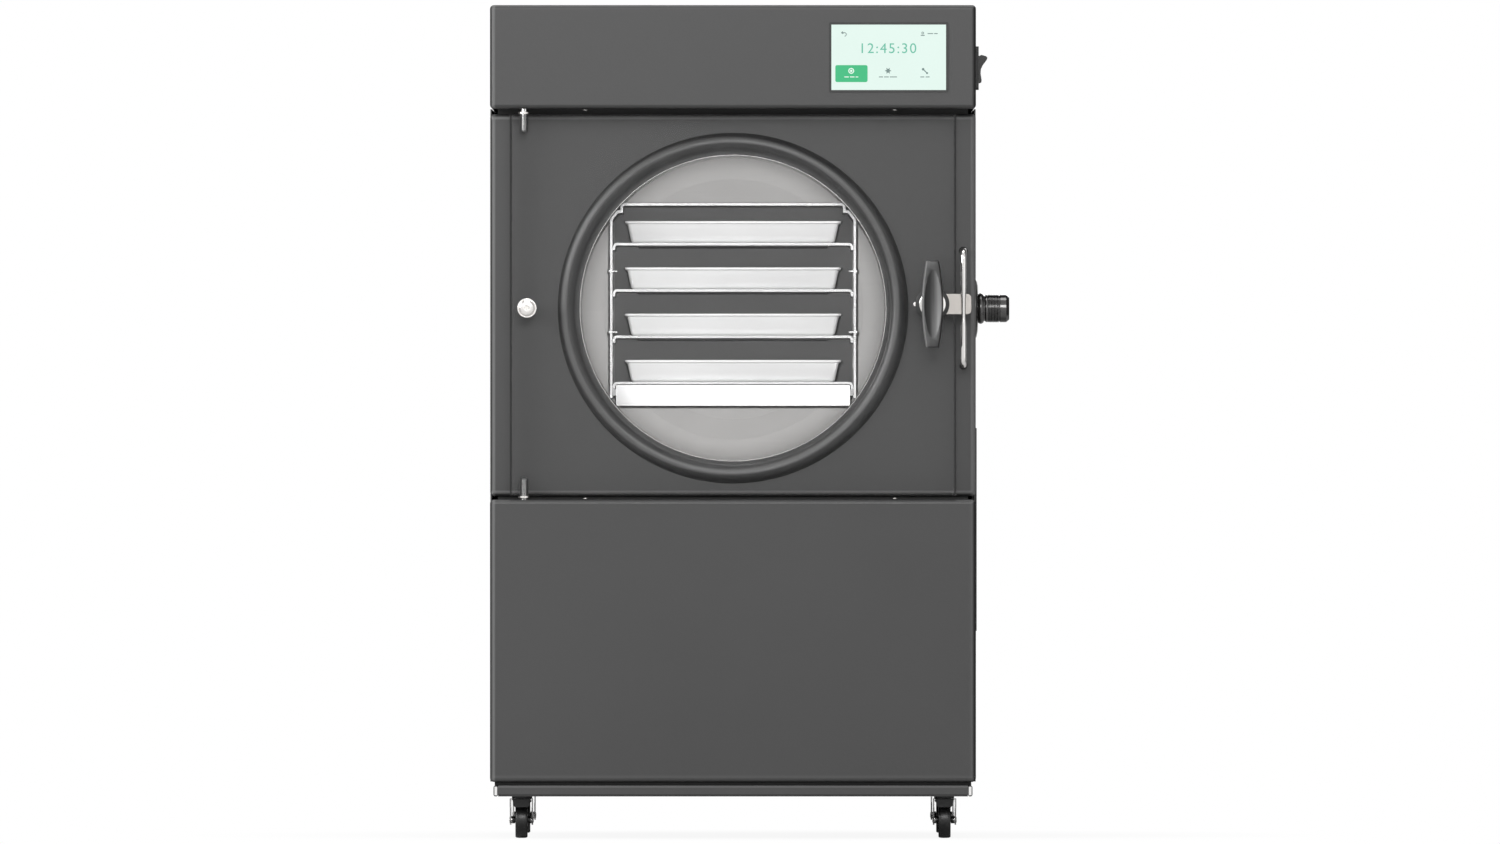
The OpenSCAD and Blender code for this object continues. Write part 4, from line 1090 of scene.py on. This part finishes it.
# %% Hub and washer
hub_front = 0.2 - in_mm(HUB)
boss = [(hub_front, 5.2), (hub_front, 12.2), (hub_front + 0.4, 13), (-1, 13.2), (0, 13), (0, 5.2)]
washer = [(-0.8, 11), (-0.8, 16.2), (-0.5, 16.7), (-0.05, 16.8), (-0.05, 11), (-0.8, 11)]
for name, profile, finish, slot in (
    ("knob_boss", boss, "bright_plate", "bright_steel"),
    ("knob_washer", washer, "black_plastic", "black_plastic"),
):
    piece = turned(name, (knob_x, knob_high.y, knob_z), Y_AXIS, profile, 64)
    finish_piece(piece, finish, "latch", ["latch_knob"])

# %% [markdown]
# ## Trays
#
# A tray is pressed from one stainless sheet: sloping walls, tight corners, a rounded foot, and a
# rim that is rolled outward so that no sharp edge is left. A block gives the outside. Its top is
# extruded out and up for the rim, and then down for the inside.
# One tray is modelled, and a copy of it goes on each shelf.

# %% Press one tray
RIM = 2.5 * MM
RIM_RISES = 3.3 * MM
DRAFT = 4.0 * MM
SHEET = 1.2 * MM

tray_low, tray_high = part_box("tray_1")
tray_mid = middle_of("tray_1")
tray = start_block(
    "tray_one", tray_low + Vector((RIM, RIM, 0)), tray_high - Vector((RIM, RIM, RIM_RISES))
)


def widen_picked(grow):
    """Widens what is picked by a length on every side, about the tray's middle."""
    mesh = bmesh.from_edit_mesh(tray.data)
    half_x = max(abs(v.co.x - tray_mid.x) for v in mesh.verts if v.select)
    half_y = max(abs(v.co.y - tray_mid.y) for v in mesh.verts if v.select)
    bpy.ops.transform.resize(
        value=((half_x + grow) / half_x, (half_y + grow) / half_y, 1), center_override=tray_mid
    )


pick(tray, lambda at, way: abs(way.z) > 0.9, "EDGE")
bpy.ops.mesh.bevel(offset=3.8 * MM, segments=4)
pick(tray, lambda at, normal: normal.z < -0.9)
widen_picked(-DRAFT)
pick(tray, lambda at, way: abs(way.z) < 0.1 and at.z < tray_low.z + 0.1 * MM, "EDGE")
bpy.ops.mesh.bevel(offset=3.0 * MM, segments=4)
pick(tray, lambda at, normal: normal.z > 0.9 and at.z > tray_mid.z)
floor_drop = in_mm(tray_low.z + SHEET - tray_high.z)
for rise, grow in (
    (0.9, 1.7), (0.2, 0.5), (0.3, 0.3), (1.3, 0), (0.45, -0.3), (0.15, -0.7), (0, -2.7),
    (floor_drop, -4.0),
):
    bpy.ops.mesh.extrude_region_move(TRANSFORM_OT_translate={"value": (0, 0, rise * MM)})
    widen_picked(grow * MM)
ease_edges(tray, 0.4, 2, 0.9)
print("one tray with", len(tray.data.polygons), "faces")

# %% Four trays on their shelves
for name in each("tray", LEVELS).split():
    shift = Matrix.Translation((0, 0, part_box(name)[0].z - tray_low.z))
    copy = copy_piece(tray, name.replace("tray", "tray_pressed"), shift)
    finish_piece(copy, "tray_steel", "cabinet", [name], 30)
bpy.data.objects.remove(tray)
print("four trays,", len(copy.data.polygons), "faces each")

# %% [markdown]
# ## Screws
#
# Pan-head screws with a cross recess hold the vent cover and the back. The head is a turned
# dome, and two crossed slots with tapered walls are taken away from it. One is modelled with a
# radius of a metre. Scaled copies go on the plain screws of the solids, each at an angle of
# its own, as screws end up.

# %% One screw head
HEAD_RISE = 0.55

dome = [(0, 0), (0, 0.97), (0.25, 1), (0.55, 0.93), (0.82, 0.72), (0.97, 0.40), (1, 0)]
model_head = turned(
    "screw_head", (0, 0, 0), Z_AXIS, [(in_mm(z * HEAD_RISE), in_mm(r)) for z, r in dome], 32
)
for turn in (0, math.pi / 2):
    recess = start_piece(
        "recess", bpy.ops.mesh.primitive_cube_add, size=1, location=(0, 0, HEAD_RISE),
        scale=(1.15, 0.24, HEAD_RISE * 1.1), rotation=(0, 0, turn),
    )
    pick(recess, lambda at, normal: normal.z < -0.9)
    bpy.ops.transform.resize(value=(0.5, 0.6, 1))
    take_away(model_head, recess)
print("a screw head with", len(model_head.data.polygons), "faces")


def loose_boxes(node):
    """The box of each separate solid in a node, from its connected triangles."""
    mesh = bmesh.new()
    mesh.from_mesh(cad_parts[node].data)
    bmesh.ops.remove_doubles(mesh, verts=mesh.verts, dist=0.01 * MM)
    left, found = set(mesh.verts), []
    while left:
        island = [left.pop()]
        for corner in island:
            near = {edge.other_vert(corner) for edge in corner.link_edges} & left
            left -= near
            island += near
        spans = [[corner.co[i] for corner in island] for i in range(3)]
        found.append([Vector(map(end, spans)) for end in (min, max)])
    mesh.free()
    return sorted(found, key=lambda pair: tuple(round(v, 4) for v in pair[0]))


# %% A head on every plain screw
for count, (low, high) in enumerate(loose_boxes("fasteners")):
    size, middle = high - low, (low + high) / 2
    axis = min(range(3), key=lambda i: size[i])
    radius = max(size) / 2
    if axis == 2:
        way = 1 if middle.z < chamber_z else -1
    else:
        way = -1 if axis == 0 else 1
    outward = Vector([way if i == axis else 0 for i in range(3)])
    seat = middle.copy()
    seat[axis] = (high if way > 0 else low)[axis] - way * radius * HEAD_RISE
    spin = Matrix.Rotation(0.7 * count + 0.3, 4, "Z")
    face = Vector(Z_AXIS).rotation_difference(outward).to_matrix().to_4x4()
    move = Matrix.Translation(seat) @ face @ spin @ Matrix.Scale(radius, 4)
    head = copy_piece(model_head, "screw_%02d" % (count + 1), move)
    finish_piece(head, "satin_steel", "cabinet", ["fasteners"], 30)
bpy.data.objects.remove(model_head)
print(count + 1, "screw heads")

# %% [markdown]
# Each pivot pin has a wider shoulder where it enters the deck, which is a short turned ring.

# %% Shoulders on the pivot pins
pins = loose_boxes("pivot_pins")
door_low, door_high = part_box("door_panel")
for name, (low, high), z in (
    ("pin_shoulder_low", pins[0], door_low.z - 2.9 * MM),
    ("pin_shoulder_high", pins[-1], door_high.z + 0.5 * MM),
):
    centre = (low + high) / 2
    shoulder = turned(
        name, (centre.x, centre.y, z), Z_AXIS,
        [(0, 2.9), (0, 5.4), (0.3, 5.8), (2.1, 5.8), (2.4, 5.4), (2.4, 2.9), (0, 2.9)], 32,
    )
    finish_piece(shoulder, "satin_steel", "cabinet")

# %% [markdown]
# ## Casters
#
# A caster's wheel is a turned section: a crowned tyre, a dished web and a hub. Its fork is
# pressed plate, which the solids already have, and a riveted head ends the axle on each side.

# %% Wheels and axle heads
RIVET = [(-0.2, 0), (-0.2, 3.2), (0.2, 3.1), (0.5, 2.3), (0.65, 1.0), (0.7, 0)]

for quarter in QUARTERS:
    low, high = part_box("wheel_" + quarter)
    centre = (low + high) / 2
    r, w = in_mm(high.z - low.z) / 2, in_mm(high.x - low.x) / 2
    section = [
        (-w, 2.7), (-w, r * 0.34), (-w + 0.4, r * 0.38), (-w + 1.8, r * 0.46),
        (-w + 1.8, r * 0.66), (-w + 0.5, r * 0.76), (-w, r * 0.80), (-w, r * 0.93),
        (-w * 0.93, r * 0.965), (-w * 0.75, r * 0.988), (-w * 0.4, r),
    ]
    profile = section + [(-along, radius) for along, radius in reversed(section)]
    wheel = turned("wheel_turned_" + quarter, centre, X_AXIS, profile + [section[0]], 72)
    finish_piece(
        wheel, "tread_rubber", "roller_" + quarter, ["wheel_" + quarter], 40
    )
    fork_low, fork_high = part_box("fork_" + quarter)
    for side, x, way in (("left", fork_low.x, -1), ("right", fork_high.x, 1)):
        name = "rivet_%s_%s" % (quarter, side)
        rivet = turned(name, (x, centre.y, centre.z), (way, 0, 0), RIVET, 24)
        finish_piece(rivet, "bright_plate", "caster_" + quarter)

# %% [markdown]
# A black block fills the gap between the cabinet and its base as painted shade, so that the gap
# shows as a black line all round. One block with slightly eased edges is enough.

# %% Black shade block under the cabinet
tray_low, tray_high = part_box("base_tray")
rail_low, rail_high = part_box("base_rails")
sponge_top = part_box("lower_front_panel")[0].z + 0.6 * MM
sponge = start_block(
    "base_sponge", (rail_low.x + 1.2 * MM, tray_low.y + 1.6 * MM, rail_high.z + 0.1 * MM),
    (rail_high.x - 1.2 * MM, tray_high.y - 1.6 * MM, sponge_top),
)
ease_edges(sponge, 0.5, 2, 0.6)
finish_piece(sponge, "sponge_rubber", "cabinet")
print("sponge", [round(in_mm(v), 1) for v in sponge.dimensions], "mm")

# %% [markdown]
# ## What the display shows
#
# The screen shows a clock-like count in the middle, a green start button below it on the
# left and small grey symbols. Each is a thin plate just in front of the glass,
# with its own glow. The digits are a text object that is made a mesh.

# %% Plates on the screen
screen_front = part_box("display_screen")[0].y
screen_x, _, screen_z = middle_of("display_screen")


def on_screen(x, z, lift):
    """A place on the screen, in millimetres from its middle and in front of the glass."""
    return (screen_x + x * MM, screen_front - lift * MM, screen_z + z * MM)


def screen_plate(name, x, z, width, height, corner, turn=0, lift=0.10, ink="ink_grey"):
    """A thin plate with round corners; sizes are in millimetres and the turn in degrees."""
    piece = start_piece(
        name, bpy.ops.mesh.primitive_cube_add, size=1, location=on_screen(x, z, lift - 0.04),
        rotation=(0, math.radians(turn), 0), scale=(width * MM, 0.08 * MM, height * MM),
    )
    pick(piece, lambda at, way: abs(way.y) > 0.9, "EDGE")
    bpy.ops.mesh.bevel(offset=corner * MM, segments=5)
    finish_piece(piece, ink, "cabinet")


screen_plate("start_button", -36.8, -16.1, 31.9, 16.8, 1.8, ink="button_glow")
bars = [(-41.6, 4.4), (-36.0, 4.6), (-31.4, 2.6), (-7.6, 4.2), (-2.2, 4.6), (4.6, 7.2)]
bars += [(33.2, 4.0), (38.4, 4.0)]
for i, (x, width) in enumerate(bars):
    ink = "ink_white" if i < 3 else "ink_grey"
    screen_plate("label_bar_%d" % i, x, -19.4, width, 0.9, 0.2, lift=0.2, ink=ink)
screen_plate("status_bar_1", 41.2, 23.4, 5.6, 0.9, 0.2)
screen_plate("status_bar_2", 46.6, 23.4, 3.6, 0.9, 0.2)
print("a button and", len(bars) + 2, "bars")

# %% [markdown]
# The symbols are generic: a ring with a bar for the start, a snowflake of three crossed bars
# for freezing, a probe for the temperature and a bent arrow for going back.

# %% Symbols
def screen_ring(name, x, z, outer, inner, half=False, ink="ink_grey"):
    ring = turned(
        name, on_screen(x, z, 0.2), Y_AXIS,
        [(0, inner), (0, outer), (0.08, outer), (0.08, inner), (0, inner)], 40,
    )
    if half:
        corner = Vector(on_screen(x, z + 0.9, 0))
        bpy.ops.object.mode_set(mode="EDIT")
        pick(ring, lambda at, normal: at.x < corner.x and at.z < corner.z)
        bpy.ops.mesh.delete(type="FACE")
        bpy.ops.mesh.select_all(action="SELECT")
        bpy.ops.mesh.fill_holes(sides=4)
    finish_piece(ring, ink, "cabinet")


screen_ring("start_ring", -37.0, -13.4, 2.9, 1.9, ink="ink_white")
screen_plate("start_core", -37.0, -13.4, 2.2, 2.2, 0.8, lift=0.2, ink="ink_white")
for i in range(3):
    screen_plate("flake_bar_%d" % i, -0.6, -13.3, 6.0, 0.9, 0.2, i * 60, 0.14 + i * 0.03)
screen_ring("flake_ring", -0.6, -13.3, 1.9, 1.1)
screen_plate("probe_stem", 36.2, -14.0, 5.4, 1.0, 0.4, 45)
screen_plate("probe_bulb", 34.0, -11.8, 2.4, 2.4, 1.0)
screen_plate("probe_tip", 37.9, -15.6, 1.8, 1.8, 0.6)
screen_ring("back_arc", -43.6, 22.6, 2.1, 1.3, half=True)
screen_plate("back_bar", -44.8, 24.3, 3.0, 0.8, 0.2)
screen_plate("back_head_up", -46.0, 24.8, 2.0, 0.8, 0.2, -40)
screen_plate("back_head_down", -46.0, 23.7, 2.0, 0.8, 0.2, 40)
screen_ring("user_ring", 33.6, 24.0, 1.3, 0.6)
screen_plate("user_bar", 33.6, 21.7, 4.0, 1.0, 0.4)

# %% The count in the middle
COUNT_WIDTH = 54 * MM
FLATTEN = 0.0115

clear_selection()
bpy.ops.object.text_add(rotation=LOOK_BACK)
digits = bpy.context.object
digits.name = "count_digits"
digits.data.body = "12:45:30"
digits.data.align_x = digits.data.align_y = "CENTER"
digits.data.extrude = 0.04 * MM / FLATTEN
digits.data.size = 1.0
digits.data.space_character = 1.18
bpy.context.view_layer.update()
fit = COUNT_WIDTH / digits.dimensions.x
digits.scale = (fit, fit, FLATTEN)
digits.location = on_screen(-1.0, 8.4, 0.06)
activate(digits)
bpy.ops.object.convert(target="MESH")
digits = bpy.context.object
bpy.ops.object.transform_apply(location=True, rotation=True, scale=True)
finish_piece(digits, "ink_green", "cabinet")
print("digits", [round(in_mm(v), 1) for v in digits.dimensions], "mm")

# %% [markdown]
# ## Closing the book
#
# The growth of the finished model's box over the solids' box is printed, so that anyone can
# see that the looks did not change the size.

# %% Compare sizes and finish
final_low, final_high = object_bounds()
grown = [round(1000 * (b - a), 1) for a, b in zip(solid_high - solid_low, final_high - final_low)]
print("the finished model is larger by", grown, "mm")
